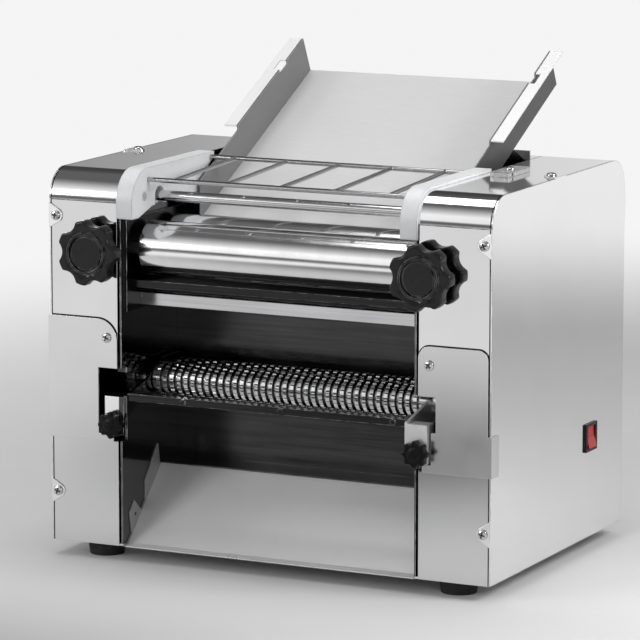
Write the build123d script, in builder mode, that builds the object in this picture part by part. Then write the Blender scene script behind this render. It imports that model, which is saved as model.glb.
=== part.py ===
"""Electric pasta maker: press rollers, pull-out comb cutter unit, gear and belt drive.

Millimetres. +X to the machine's right, +Y to its back, +Z up. The origin lies on the
surface that the feet stand on, under the middle of the machine's footprint. Values
named *_back are depths behind the casing's front face, *_h heights above the casing's
underside, *_in distances in from its side, *_y and *_z places in this frame.
"""

from build123d import *
from math import acos, cos, dist, pi, radians, sin, tan
import os

os.makedirs("parts", exist_ok=True)
SIDES = {"left": -1, "right": 1}

# ---------------------------------------------------------------- casing
casing_w = 440.0
casing_d = 305.0
casing_h = 344.0
column_w = 73.5
corner_r = 27.0
sheet_t = 1.2
base_t = 2.0
foot_h = 14.0
foot_d = 32.0
foot_taper = 8.0
foot_inset_x = 42.0
foot_inset_y = 27.5
liner_t = 1.5
plate_t = 8.0
plate_setback = 10.0
panel_reveal = 4.0
slip = 0.02
running = 0.05
air = 0.3

# ---------------------------------------------------------------- press rollers
roller_d = 50.0
roller_end_gap = 10.0
roller_h = 272.0
front_roller_back = 40.5
nip_gap = 1.0
journal_d = 16.0
shoulder_d = 24.0

# ---------------------------------------------------------------- gears
train_module = 2.0
roller_teeth = 44
link_teeth = 28
idler_teeth = 23
cutter_drive_teeth = 13
pinion_teeth = 15
pair_teeth = 20
cutter_pair_teeth = 14
gear_w = 8.0
gear_gap = 1.5
backlash = 0.5
stud_d = 12.0
stud_washer_d = 18.0
stud_washer_t = 1.5

# ---------------------------------------------------------------- cutter unit
cutter_d = 30.0
cutter_bite = 2.5
disc_w = 3.45
groove_w = 3.75
disc_sides = 12
groove_gap = 0.2
cutter_shaft_d = 12.0
cutter_plate_t = 3.0
cutter_plate_margin = 2.0
cutter_plate_nose = 11.0
cutter_plate_slope = (25.0, 14.0)
cutter_plate_chin = 35.0
cutter_plate_gap = 4.5
cutter_plate_tuck = 1.0
bracket_proud = 5.5
bracket_in = 59.0
bracket_low_h = 105.0
bracket_top_h = 140.0
bracket_block_h = 10.0
bracket_t = 3.0
front_bar_h = 6.5
front_bar_d = 8.0
front_bar_gap = 3.0
bar_pin_d = 5.0
bar_pin_x = (-82.0, 16.0, 127.0)
unit_rod_d = 6.0
clamp_in = 68.0
clamp_h = 114.5
clamp_screw_d = 6.0
clamp_bite = 14.0
clamp_knob_d = 25.0
clamp_knob_t = 9.5
boss_d = 20.0
slot_gap = 1.0
notch_low_h = 98.0
notch_top_h = 165.0
notch_above_in = {"left": 50.0, "right": 52.5}
notch_beside_in = {"left": 50.0, "right": 57.0}
notch_below_in = 65.5

# ---------------------------------------------------------------- thickness adjustment
knob_in = {"left": 47.8, "right": 62.1}
knob_d = 60.0
knob_t = 15.0
knob_off = 7.0
knob_lobes = 7
knob_ring_d = 38.0
knob_disc_d = 31.0
knob_hub_d = 20.0
knob_recess = 1.5
lobe_scoop = 0.2
lobe_scoop_at = 0.62
clamp_lobe_scoop = 0.14
clamp_lobe_at = 0.58
screw_d = 8.0
collar_d = 13.0
collar_t = 2.5
panel_hole_d = 12.0
window_h = 36.0
block_len = 38.0
block_flange_t = 1.0
block_flange_lap = 3.0
open_travel = 2.2
close_travel = 0.8
arm_t = 9.5
arm_h = 20.0
arm_margin = 8.0

# ---------------------------------------------------------------- motor and belt
motor_back = 224.5
motor_h = 84.0
motor_d = 96.0
motor_len = 150.0
motor_in = 102.0
motor_shaft_d = 14.0
motor_belt_d = 28.0
driven_belt_d = 110.0
pulley_in = 38.0
pulley_w = 14.0
pulley_rim = 4.0
pulley_flange_t = 2.5
belt_t = 5.0
saddle_w = 20.0
saddle_seat = 70.0

# ---------------------------------------------------------------- hopper tray
tray_side_gap = 16.5
tray_t = 1.2
tray_slope = 26.5
tray_wall = 37.0
tray_low_wall = 33.0
tray_flange = 13.0
tray_slot_at = 0.31
tray_slot_len = 16.0
tray_slot_w = 6.0
tray_rear_back = 353.4
tray_rear_h = 402.6
tray_front_back = 121.5
tray_step_back = 198.5
tray_rest_back = 140.5
tray_rest_d = 8.0
deck_front_back = 252.5

# ---------------------------------------------------------------- caps and guard
cap_proud = 3.0
cap_w = 13.5
cap_lip = 3.0
cap_low_h = 303.0
cap_skirt_h = 313.0
cap_rear_back = 157.5
cap_toe = 6.0
cap_toe_run = 12.0
cap_ramp = 25.0
cap_web = (14.0, 2.0)
cap_jaw = 40.0
cap_recess_d = 8.0
cap_recess_back = 21.0
cap_recess_h = 321.0
rod_d = 4.5
bar_d = 4.0
rod_a_back = 28.5
rod_a_h = 336.0
rod_b_back = 150.5
rod_b_h = 342.3
rod_seat = 5.0
bar_pitch = 53.5
bar_count = 5
guard_rod_d = 10.0
guard_bush_d = 15.0
guard_bush_w = 10.5
rod_c_back = 49.5
rod_c_h = 319.0

# ---------------------------------------------------------------- under the rollers
bracket_plate_t = 3.0
bracket_plate_drop = 55.0
bracket_plate_rise = 30.0
bracket_plate_back = 5.5
tie_bar_half_gap = 32.5
tie_bar_lift = 3.0
tie_bar_h = 11.0
tie_bar_flange = 16.0
tie_bar_t = 2.0
tie_slot_w = 14.0
tie_slot_d = 5.0
tie_slot_count = 7
strip_rod_d = 7.0
strip_rod_drop = 35.0
strip_rod_half_gap = 35.5
scraper_t = 1.2
scraper_fall = 4.0
scraper_reach = 12.0
scraper_flange = 6.5
scraper_angle = 65.0
chute_lip_back = 2.5
chute_lip_drop = 1.0
chute_front_back = 8.5
chute_front_h = 1.3
chute_back = 72.0
chute_top_h = 64.0
chute_shelf = 12.0
chute_tab_h = 20.0
chute_tab_d = 30.0
chute_tab_lean = 5.0
hook_run = (7.0, 26.0)
hook_top = ((12.0, 38.0), (3.0, 28.0))
hook_hole = (14.0, 25.0)
hook_hole_d = 4.0
bulkhead_back = 108.5
bulkhead_step_drop = 36.0
bulkhead_top_back = 125.5
bulkhead_drop = 14.0
base_notch_back = 20.0
tie_rod_d = 12.0

# ---------------------------------------------------------------- fasteners and covers
head_d = 9.5
head_t = 2.6
head_sides = 12
ear_in = 7.0
ear_high_h = 302.0
ear_low_h = 46.5
ear_r = 6.6
ear_flare = 23.0
top_ear_in = 9.5
top_ear_back = 152.5
cover_t = 1.5
cover_low_h = 97.0
cover_top_h = 210.0
cover_corner_r = {"left": 20.0, "right": 11.0}
cover_outer_r = 9.0
cover_edge_in = 2.5
cover_screw_in = 59.0
cover_screw_h = 193.0
flap_h = 37.0
flap_d = 14.0

# ---------------------------------------------------------------- switch, inlet, louvres
switch_back = 226.5
switch_h = 94.0
bezel_w = 26.0
bezel_t = 2.0
barrel_depth = 16.0
barrel_wall = 1.5
rocker_w = 17.0
rocker_h = 20.4
rocker_gap = 0.4
rocker_tilt = 8.0
rocker_root = 0.7
inlet_in = 44.0
inlet_h = 62.0
inlet_w = 27.0
inlet_tall = 20.0
inlet_lap = 3.0
inlet_depth = 18.0
inlet_pin_d = 4.0
louvre_count = 9
louvre_w = 60.0
louvre_h = 4.0
louvre_pitch = 11.0
louvre_centre_h = 160.0
interlock_in = 49.5
interlock_back = 151.5
interlock_w = 19.0
interlock_d = 50.0
interlock_t = 4.3
interlock_slot = 2.6

# ---------------------------------------------------------------- worked-out places
half_w = casing_w / 2
front_reach = knob_off + knob_t
front_y = front_reach - (front_reach + tray_rear_back) / 2
rear_y = front_y + casing_d
base_z = foot_h
top_z = base_z + casing_h
seam_z = top_z - corner_r
floor_z = base_z + base_t
throat_x = half_w - column_w
liner_x = throat_x + liner_t
plate_x = liner_x + plate_t
inner_x = half_w - sheet_t
panel_front_y = front_y + sheet_t
panel_rear_y = rear_y - sheet_t
plate_front_y = front_y + plate_setback
plate_rear_y = panel_rear_y - 2 * sheet_t
panel_in_x = throat_x + panel_reveal
knob_x = {side: half_w - inset for side, inset in knob_in.items()}
base_notch_y = front_y + base_notch_back

roller_r = roller_d / 2
roller_half = throat_x - roller_end_gap
journal_r = journal_d / 2
roller_z = base_z + roller_h
front_roller_y = front_y + front_roller_back
rear_roller_y = front_roller_y + roller_d + nip_gap
nip_y = (front_roller_y + rear_roller_y) / 2


def pitch_r(teeth, module):
    """Radius of a gear's pitch circle."""
    return teeth * module / 2


gear_x = plate_x + gear_gap
train_end = gear_x + gear_w
link_z = roller_z - pitch_r(roller_teeth + link_teeth, train_module)
cutter_z = link_z - pitch_r(link_teeth + idler_teeth, train_module)
layshaft_y = rear_roller_y + pitch_r(roller_teeth + pinion_teeth, train_module)
pair_module = roller_d / pair_teeth

cutter_r = cutter_d / 2
cutter_gap = cutter_d - cutter_bite
front_cutter_y = rear_roller_y - pitch_r(idler_teeth + cutter_drive_teeth, train_module)
rear_cutter_y = front_cutter_y + cutter_gap
groove_r = cutter_gap - cutter_r - groove_gap
disc_pitch = disc_w + groove_w
disc_count = int(2 * roller_half / disc_pitch)
cutter_pair_module = cutter_gap / cutter_pair_teeth
cutter_shaft_r = cutter_shaft_d / 2
boss_r = boss_d / 2
bracket_front_y = front_y - bracket_proud
bracket_reach = half_w - bracket_in
clamp_x = half_w - clamp_in
cutter_plate_out = throat_x - cutter_plate_gap
cutter_plate_x = cutter_plate_out - cutter_plate_t
bracket_low_z = base_z + bracket_low_h
bracket_top_z = base_z + bracket_top_h
clamp_z = base_z + clamp_h
notch_low_z = base_z + notch_low_h
notch_top_z = base_z + notch_top_h
slot_low_z = cutter_z - boss_r - slot_gap
slot_top_z = cutter_z + boss_r + slot_gap
drive_gear_low_z = cutter_z - pitch_r(cutter_drive_teeth + 2, train_module) - slot_gap
slot_rear_y = {
    "left": rear_cutter_y + boss_r + slot_gap,
    "right": front_cutter_y + boss_r + slot_gap,
}

block_front_y = front_roller_y - block_len / 2
block_rear_y = front_roller_y + block_len / 2
window_front_y = block_front_y - open_travel - slot_gap
window_rear_y = block_rear_y + close_travel + slot_gap
journal_front_y = front_roller_y - open_travel
knob_back_y = front_y - knob_off
knob_front_y = knob_back_y - knob_t
pair_gear_x = knob_x["left"] + arm_margin + gear_w / 2
screw_r = screw_d / 2
screw_tip_y = block_front_y + arm_t - open_travel - air
clamp_tip_y = plate_front_y + clamp_bite

motor_y = front_y + motor_back
motor_z = base_z + motor_h
motor_end_x = half_w - motor_in
motor_start_x = motor_end_x - motor_len
pulley_x = half_w - pulley_in
slope = radians(tray_slope)
tray_half = throat_x - tray_side_gap
cap_x = throat_x - cap_w
tray_rear_y = front_y + tray_rear_back
tray_rear_z = base_z + tray_rear_h
tray_front_y = front_y + tray_front_back
tray_step_y = front_y + tray_step_back
tray_rest_y = front_y + tray_rest_back
deck_front_y = front_y + deck_front_back
bulkhead_y = front_y + bulkhead_back
bulkhead_top_y = front_y + bulkhead_top_back
bulkhead_step_z = roller_z - bulkhead_step_drop
chute_top_y = front_y + chute_back
chute_top_z = base_z + chute_top_h
rod_a = (front_y + rod_a_back, base_z + rod_a_h)
rod_b = (front_y + rod_b_back, base_z + rod_b_h)
rod_c = (front_y + rod_c_back, base_z + rod_c_h)
switch_y = front_y + switch_back
switch_z = base_z + switch_h
inlet_x = half_w - inlet_in
inlet_z = base_z + inlet_h
interlock_x = half_w - interlock_in
cover_screw_x = half_w - cover_screw_in
cover_out_x = {"left": half_w + cover_t, "right": half_w - cover_edge_in}


# ---------------------------------------------------------------- shared shapes
def save(part, name):
    """Label one finished piece and write it."""
    part.label = name
    export_step(part, f"parts/{name}.step")


def tray_under_z(y):
    """Height of the tray's underside above the point y."""
    return tray_rear_z - (tray_rear_y - y) * tan(slope)


def circle_at(first, second, radius, mode=Mode.ADD):
    """A circle at a point of the sketch."""
    with Locations((first, second)):
        Circle(radius, mode=mode)


def box_between(low, high, mode=Mode.ADD):
    """A rectangle between two opposite corners of the sketch."""
    with Locations(((low[0] + high[0]) / 2, (low[1] + high[1]) / 2)):
        Rectangle(abs(high[0] - low[0]), abs(high[1] - low[1]), mode=mode)


def across(side, low, high):
    """Sketch plane and length of a piece from low to high, on one side of the middle."""
    start = low if side == "right" else -high
    return Plane.YZ.offset(start), high - low


def facing(y):
    """Sketch plane at depth y that extrudes towards the machine's front."""
    return Plane.XZ.offset(-y)


def cut_notch(side, low_z):
    """Cut the notch: wide where the drive gear passes, close beside the bracket, narrow below."""
    for inset, low, high in (
        (notch_above_in[side], drive_gear_low_z, notch_top_z),
        (notch_beside_in[side], bracket_low_z - slot_gap, drive_gear_low_z),
        (notch_below_in, low_z, bracket_low_z),
    ):
        box_between((SIDES[side] * throat_x, low), (SIDES[side] * (half_w - inset), high),
                    Mode.SUBTRACT)


def casing_side(inset, low_z):
    """Side view of the casing moved in by inset: square below, rounded above."""
    near, far, high = front_y + inset, rear_y - inset, top_z - inset
    radius = corner_r - inset
    with BuildSketch(mode=Mode.PRIVATE) as outline:
        with BuildLine():
            Polyline((near, seam_z), (near, low_z), (far, low_z), (far, seam_z))
            RadiusArc((far, seam_z), (far - radius, high), -radius)
            Line((far - radius, high), (near + radius, high))
            RadiusArc((near + radius, high), (near, seam_z), -radius)
        make_face()
    return outline.sketch


def folded_sheet(path, half_width, thickness):
    """A sheet folded along X: path is its side view, thickness lies to its left."""
    with BuildPart() as sheet:
        with BuildSketch(Plane.YZ.offset(-half_width)):
            with BuildLine():
                face_line = Polyline(*path)
                offset(face_line, amount=thickness, side=Side.LEFT)
            make_face()
        extrude(amount=2 * half_width)
    return sheet.part


def turned(y, z, steps):
    """A shaft lying across the machine: steps are (low x, high x, radius)."""
    with BuildPart() as shaft:
        for low, high, radius in steps:
            with BuildSketch(Plane.YZ.offset(low)):
                circle_at(y, z, radius)
            extrude(amount=high - low)
    return shaft.part


# ================================================================ gears
def involute(angle):
    """Involute function of a pressure angle."""
    return tan(angle) - angle


def tooth_half_angle(radius, teeth, module):
    """Half the angle that one 20 degree tooth takes up at a radius."""
    reference = pitch_r(teeth, module)
    base = reference * cos(radians(20))
    at_reference = (pi * module / 2 - backlash) / (2 * reference)
    return at_reference + involute(radians(20)) - involute(acos(min(1.0, base / radius)))


def gear_outline(teeth, module, phase):
    """Corner points of a spur gear, the first tooth centred on phase."""
    root = pitch_r(teeth, module) - 1.25 * module
    tip = pitch_r(teeth, module) + 0.95 * module
    at_root = tooth_half_angle(root, teeth, module)
    at_tip = tooth_half_angle(tip, teeth, module)
    points = []
    for tooth in range(teeth):
        centre = phase + 2 * pi * tooth / teeth
        for radius, turn in ((root, -at_root), (tip, -at_tip), (tip, at_tip), (root, at_root)):
            points.append((radius * cos(centre + turn), radius * sin(centre + turn)))
    return points


def mesh_phase(teeth, phase, other_teeth, direction):
    """Phase that puts the other gear's gap on this gear's tooth, seen in direction."""
    pitches = (direction - phase) * teeth / (2 * pi)
    return direction + pi - (2 * pi / other_teeth) * (0.5 - pitches)


def gear(teeth, module, phase, y, z, low_x, bore_r):
    """A spur gear lying across X, with a bore where it sits on a shaft of its own."""
    with BuildPart() as wheel:
        with BuildSketch(Plane.YZ.offset(low_x)):
            with Locations((y, z)):
                Polygon(*gear_outline(teeth, module, phase), align=None)
                if bore_r:
                    Circle(bore_r, mode=Mode.SUBTRACT)
        extrude(amount=gear_w)
    return wheel.part


down, forward, rearward = -pi / 2, pi, 0.0
link_phase = mesh_phase(roller_teeth, 0.0, link_teeth, down)
idler_phase = mesh_phase(link_teeth, link_phase, idler_teeth, down)
drive_phase = mesh_phase(idler_teeth, idler_phase, cutter_drive_teeth, forward)
pinion_phase = mesh_phase(roller_teeth, 0.0, pinion_teeth, rearward)
front_pair_phase = mesh_phase(pair_teeth, 0.0, pair_teeth, forward)
front_cutter_phase = mesh_phase(cutter_pair_teeth, 0.0, cutter_pair_teeth, forward)

journal_bore = journal_r + slip
stud_bore = stud_d / 2 + running
cutter_bore = cutter_shaft_r + slip
pair_end = -pair_gear_x - gear_w
save(gear(roller_teeth, train_module, 0.0, rear_roller_y, roller_z, gear_x,
          journal_bore), "roller_drive_gear")
save(gear(link_teeth, train_module, link_phase, rear_roller_y, link_z, gear_x,
          stud_bore), "link_gear")
save(gear(idler_teeth, train_module, idler_phase, rear_roller_y, cutter_z, gear_x,
          stud_bore), "idler_gear")
save(gear(cutter_drive_teeth, train_module, drive_phase, front_cutter_y, cutter_z,
          gear_x, cutter_bore), "cutter_drive_gear")
save(gear(pair_teeth, pair_module, 0.0, rear_roller_y, roller_z, pair_end,
          journal_bore), "rear_roller_gear")
save(gear(pair_teeth, pair_module, front_pair_phase, front_roller_y, roller_z, pair_end,
          journal_bore), "front_roller_gear")
save(gear(cutter_pair_teeth, cutter_pair_module, 0.0, rear_cutter_y, cutter_z,
          -train_end, cutter_bore), "rear_cutter_gear")
save(gear(cutter_pair_teeth, cutter_pair_module, front_cutter_phase, front_cutter_y,
          cutter_z, -train_end, cutter_bore), "front_cutter_gear")

# ================================================================ press rollers
shoulder_x = throat_x - bracket_plate_t - 2 * air
for name, y, right_end in (
    ("rear_roller", rear_roller_y, train_end),
    ("front_roller", front_roller_y, plate_x),
):
    save(turned(y, roller_z, (
        (pair_end, right_end, journal_r),
        (-shoulder_x, shoulder_x, shoulder_d / 2),
        (-roller_half, roller_half, roller_r),
    )), name)


# ================================================================ comb cutter rollers
def comb_roller(name, y, first_x, left_x, right_x):
    """A cutter roller: a row of discs with flats milled round their rims, on one shaft."""
    drum_x = cutter_plate_x - cutter_plate_tuck
    disc_planes = [Plane.YZ.offset(first_x + disc * disc_pitch) for disc in range(disc_count)]
    with BuildPart() as roller:
        add(turned(y, cutter_z, ((left_x, right_x, cutter_shaft_r),)))
        with BuildSketch(Plane.YZ.offset(-drum_x)):
            with Locations((y, cutter_z)):
                RegularPolygon(groove_r, disc_sides)
        extrude(amount=2 * drum_x)
        with BuildSketch(*disc_planes):
            with Locations((y, cutter_z)):
                RegularPolygon(cutter_r, disc_sides)
        extrude(amount=disc_w)
    save(roller.part, name)


first_disc_x = -(disc_count * disc_pitch - groove_w) / 2
short_boss_x = throat_x - air
comb_roller("front_cutter", front_cutter_y, first_disc_x - disc_pitch / 4,
            -train_end, train_end)
comb_roller("rear_cutter", rear_cutter_y, first_disc_x + disc_pitch / 4,
            -train_end, short_boss_x)

# ================================================================ cutter unit frame
bar_low_z = bracket_top_z - front_bar_h / 2
front_bar_y = bracket_front_y + front_bar_gap
plate_low_z = cutter_z - cutter_r - cutter_plate_margin
plate_high_z = cutter_z + cutter_r + cutter_plate_margin
plate_back_y = rear_cutter_y + cutter_r + cutter_plate_margin
plate_crest_y = front_cutter_y + boss_r
plate_outline = (
    (bracket_front_y + cutter_plate_tuck, plate_low_z - cutter_plate_nose),
    (bracket_front_y + cutter_plate_tuck, bracket_top_z + cutter_plate_tuck),
    (plate_crest_y - cutter_plate_slope[0], plate_high_z - cutter_plate_slope[1]),
    (plate_crest_y, plate_high_z),
    (plate_back_y, plate_high_z),
    (plate_back_y, plate_low_z),
    (front_cutter_y - cutter_plate_chin, plate_low_z),
)
for side, sign in SIDES.items():
    wall, wall_t = across(side, cutter_plate_x, cutter_plate_out)
    wing, wing_t = across(side, cutter_plate_out, bracket_reach)
    web, web_t = across(side, bracket_reach - bracket_t, bracket_reach)
    long_boss, long_t = across(side, cutter_plate_out, plate_x)
    short_boss, short_t = across(side, cutter_plate_out, short_boss_x)
    with BuildPart() as cutter_plate:
        with BuildSketch(wall):
            Polygon(*plate_outline, align=None)
        extrude(amount=wall_t)
        with BuildSketch(long_boss):
            circle_at(front_cutter_y, cutter_z, boss_r)
            if side == "left":
                circle_at(rear_cutter_y, cutter_z, boss_r)
        extrude(amount=long_t)
        with BuildSketch(short_boss):
            circle_at(rear_cutter_y, cutter_z, boss_r)
        extrude(amount=short_t)
        with BuildSketch(wing):
            box_between((bracket_front_y, bracket_low_z),
                        (bracket_front_y + bracket_t, bracket_top_z))
            box_between((bracket_front_y, bracket_top_z - bracket_block_h),
                        (plate_front_y - slip, bracket_top_z))
        extrude(amount=wing_t)
        with BuildSketch(web):
            box_between((bracket_front_y, bracket_low_z), (plate_front_y - slip, bracket_top_z))
        extrude(amount=web_t)
        with BuildSketch(Plane.YZ.offset(-half_w)):
            for y in (front_cutter_y, rear_cutter_y):
                circle_at(y, cutter_z, cutter_shaft_r + running)
        extrude(amount=casing_w, mode=Mode.SUBTRACT)
        with BuildSketch(facing(bracket_front_y + bracket_t)):
            circle_at(sign * clamp_x, clamp_z, clamp_screw_d / 2 + air)
        extrude(amount=bracket_t, mode=Mode.SUBTRACT)
    save(cutter_plate.part, f"cutter_plate_{side}")

with BuildPart() as cutter_bars:
    with BuildSketch(Plane.YZ.offset(-cutter_plate_x)):
        box_between((front_bar_y, bar_low_z), (front_bar_y + front_bar_d, bar_low_z + front_bar_h))
        circle_at(plate_back_y - unit_rod_d / 2, plate_low_z + unit_rod_d / 2, unit_rod_d / 2)
    extrude(amount=2 * cutter_plate_x)
    with BuildSketch(facing(front_bar_y)):
        for x in bar_pin_x:
            circle_at(x, bar_low_z + front_bar_h / 2, bar_pin_d / 2)
    extrude(amount=bracket_t / 2)
save(cutter_bars.part, "cutter_bars")


# ================================================================ knobs and screws
def lobed(outer_d, lobes, scoop_r, scoop_at):
    """Grip outline: a circle with hollows scooped between its lobes."""
    with BuildSketch(mode=Mode.PRIVATE) as grip:
        Circle(outer_d / 2)
        with PolarLocations(scoop_at, lobes, start_angle=180 / lobes):
            Circle(scoop_r, mode=Mode.SUBTRACT)
        fillet(grip.vertices(), scoop_r / 5)
    return grip.sketch


big_grip = lobed(knob_d, knob_lobes, knob_d * lobe_scoop, knob_d * lobe_scoop_at)
small_grip = lobed(clamp_knob_d, knob_lobes + 1, clamp_knob_d * clamp_lobe_scoop,
                   clamp_knob_d * clamp_lobe_at)
screw_head_y = knob_front_y + 3 * knob_recess
lug_t = plate_setback - 2 * sheet_t
for side, sign in SIDES.items():
    x = sign * knob_x[side]
    with BuildPart() as thickness_knob:
        with BuildSketch(facing(knob_back_y)):
            with Locations((x, roller_z)):
                add(big_grip)
        extrude(amount=knob_t - knob_recess)
        with BuildSketch(facing(knob_back_y)):
            circle_at(x, roller_z, knob_ring_d / 2)
        extrude(amount=knob_t)
        with BuildSketch(facing(front_y - air)):
            circle_at(x, roller_z, knob_hub_d / 2)
        extrude(amount=knob_off)
        with BuildSketch(facing(knob_front_y + knob_recess)):
            circle_at(x, roller_z, knob_disc_d / 2)
        extrude(amount=knob_recess, mode=Mode.SUBTRACT)
        with BuildSketch(facing(front_y)):
            circle_at(x, roller_z, screw_r + slip)
        extrude(amount=front_y - screw_head_y, mode=Mode.SUBTRACT)
    save(thickness_knob.part, f"thickness_knob_{side}")

    with BuildPart() as adjusting_screw:
        with BuildSketch(facing(screw_tip_y)):
            circle_at(x, roller_z, screw_r)
        extrude(amount=screw_tip_y - screw_head_y)
        with BuildSketch(facing(plate_front_y + air + collar_t)):
            circle_at(x, roller_z, collar_d / 2)
        extrude(amount=collar_t)
    save(adjusting_screw.part, f"adjusting_screw_{side}")

    with BuildPart() as clamp_knob:
        with BuildSketch(facing(bracket_front_y - air)):
            with Locations((sign * clamp_x, clamp_z)):
                add(small_grip)
        extrude(amount=clamp_knob_t)
        with BuildSketch(facing(clamp_tip_y)):
            circle_at(sign * clamp_x, clamp_z, clamp_screw_d / 2)
        extrude(amount=clamp_tip_y - bracket_front_y + air)
    save(clamp_knob.part, f"clamp_knob_{side}")

# ================================================================ sliding bearing blocks
for side, sign in SIDES.items():
    flange_x = plate_x + gear_gap / 8
    in_plate, in_plate_t = across(side, liner_x + slip, flange_x)
    flange, flange_t = across(side, flange_x, flange_x + block_flange_t)
    arm, arm_len = across(side, flange_x, knob_x[side] + arm_margin)
    with BuildPart() as bearing_block:
        with BuildSketch(in_plate):
            box_between((block_front_y, roller_z - window_h / 2 + running),
                        (block_rear_y, roller_z + window_h / 2 - running))
        extrude(amount=in_plate_t)
        with BuildSketch(flange):
            box_between((block_front_y, roller_z - window_h / 2 - block_flange_lap),
                        (block_rear_y, roller_z + window_h / 2 + block_flange_lap))
        extrude(amount=flange_t)
        with BuildSketch(arm):
            box_between((block_front_y, roller_z - arm_h / 2),
                        (block_front_y + arm_t, roller_z + arm_h / 2))
        extrude(amount=arm_len)
        with BuildSketch(Plane.YZ.offset(-half_w)):
            circle_at(front_roller_y, roller_z, journal_r + running)
        extrude(amount=casing_w, mode=Mode.SUBTRACT)
        with BuildSketch(facing(block_front_y + arm_t)):
            circle_at(sign * knob_x[side], roller_z, screw_r + running)
        extrude(amount=arm_t, mode=Mode.SUBTRACT)
    save(bearing_block.part, f"bearing_block_{side}")

# ================================================================ layshaft, motor, belt
pulley_end = pulley_x + pulley_w


def pulley(y, z, belt_d, bore_r):
    """A flat-bottomed pulley with a rim each side of the belt."""
    outer = belt_d / 2 + pulley_rim
    with BuildPart() as wheel:
        with BuildSketch(Plane.YZ.offset(pulley_x)):
            circle_at(y, z, outer)
        extrude(amount=pulley_w)
        with BuildSketch(Plane.YZ.offset(pulley_x + pulley_flange_t)):
            circle_at(y, z, outer)
            circle_at(y, z, belt_d / 2 - air, Mode.SUBTRACT)
        extrude(amount=pulley_w - 2 * pulley_flange_t, mode=Mode.SUBTRACT)
        if bore_r:
            with BuildSketch(Plane.YZ.offset(pulley_x)):
                circle_at(y, z, bore_r)
            extrude(amount=pulley_w, mode=Mode.SUBTRACT)
    return wheel.part


def belt_loop(grow):
    """Taut loop round both pulleys, grown outwards from the belt's inner face."""
    with BuildSketch(mode=Mode.PRIVATE) as loop:
        circle_at(layshaft_y, roller_z, driven_belt_d / 2 + grow)
        circle_at(motor_y, motor_z, motor_belt_d / 2 + grow)
        make_hull()
    return loop.sketch


with BuildPart() as layshaft:
    add(turned(layshaft_y, roller_z, ((-plate_x, pulley_end, journal_r),)))
    add(gear(pinion_teeth, train_module, pinion_phase, layshaft_y, roller_z, gear_x, 0.0))
save(layshaft.part, "layshaft")

motor_shaft_r = motor_shaft_d / 2
with BuildPart() as motor_shaft:
    add(turned(motor_y, motor_z, ((motor_end_x + air, pulley_end, motor_shaft_r),)))
    add(pulley(motor_y, motor_z, motor_belt_d, 0.0))
save(motor_shaft.part, "motor_shaft")
save(pulley(layshaft_y, roller_z, driven_belt_d, journal_bore), "driven_pulley")

with BuildPart() as drive_belt:
    with BuildSketch(Plane.YZ.offset(pulley_x + pulley_flange_t + air)):
        add(belt_loop(belt_t))
        add(belt_loop(0.0), mode=Mode.SUBTRACT)
    extrude(amount=pulley_w - 2 * pulley_flange_t - 2 * air)
save(drive_belt.part, "drive_belt")

with BuildPart() as motor_housing:
    with BuildSketch(Plane.YZ.offset(motor_start_x)):
        circle_at(motor_y, motor_z, motor_d / 2)
    extrude(amount=motor_len)
    chamfer(motor_housing.edges().filter_by(GeomType.CIRCLE), motor_d / 12)
save(motor_housing.part, "motor_housing")

with BuildPart() as idler_studs:
    for z in (link_z, cutter_z):
        add(turned(rear_roller_y, z, (
            (liner_x, train_end + air, stud_d / 2),
            (train_end + air, train_end + air + stud_washer_t, stud_washer_d / 2),
        )))
save(idler_studs.part, "idler_studs")

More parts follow.
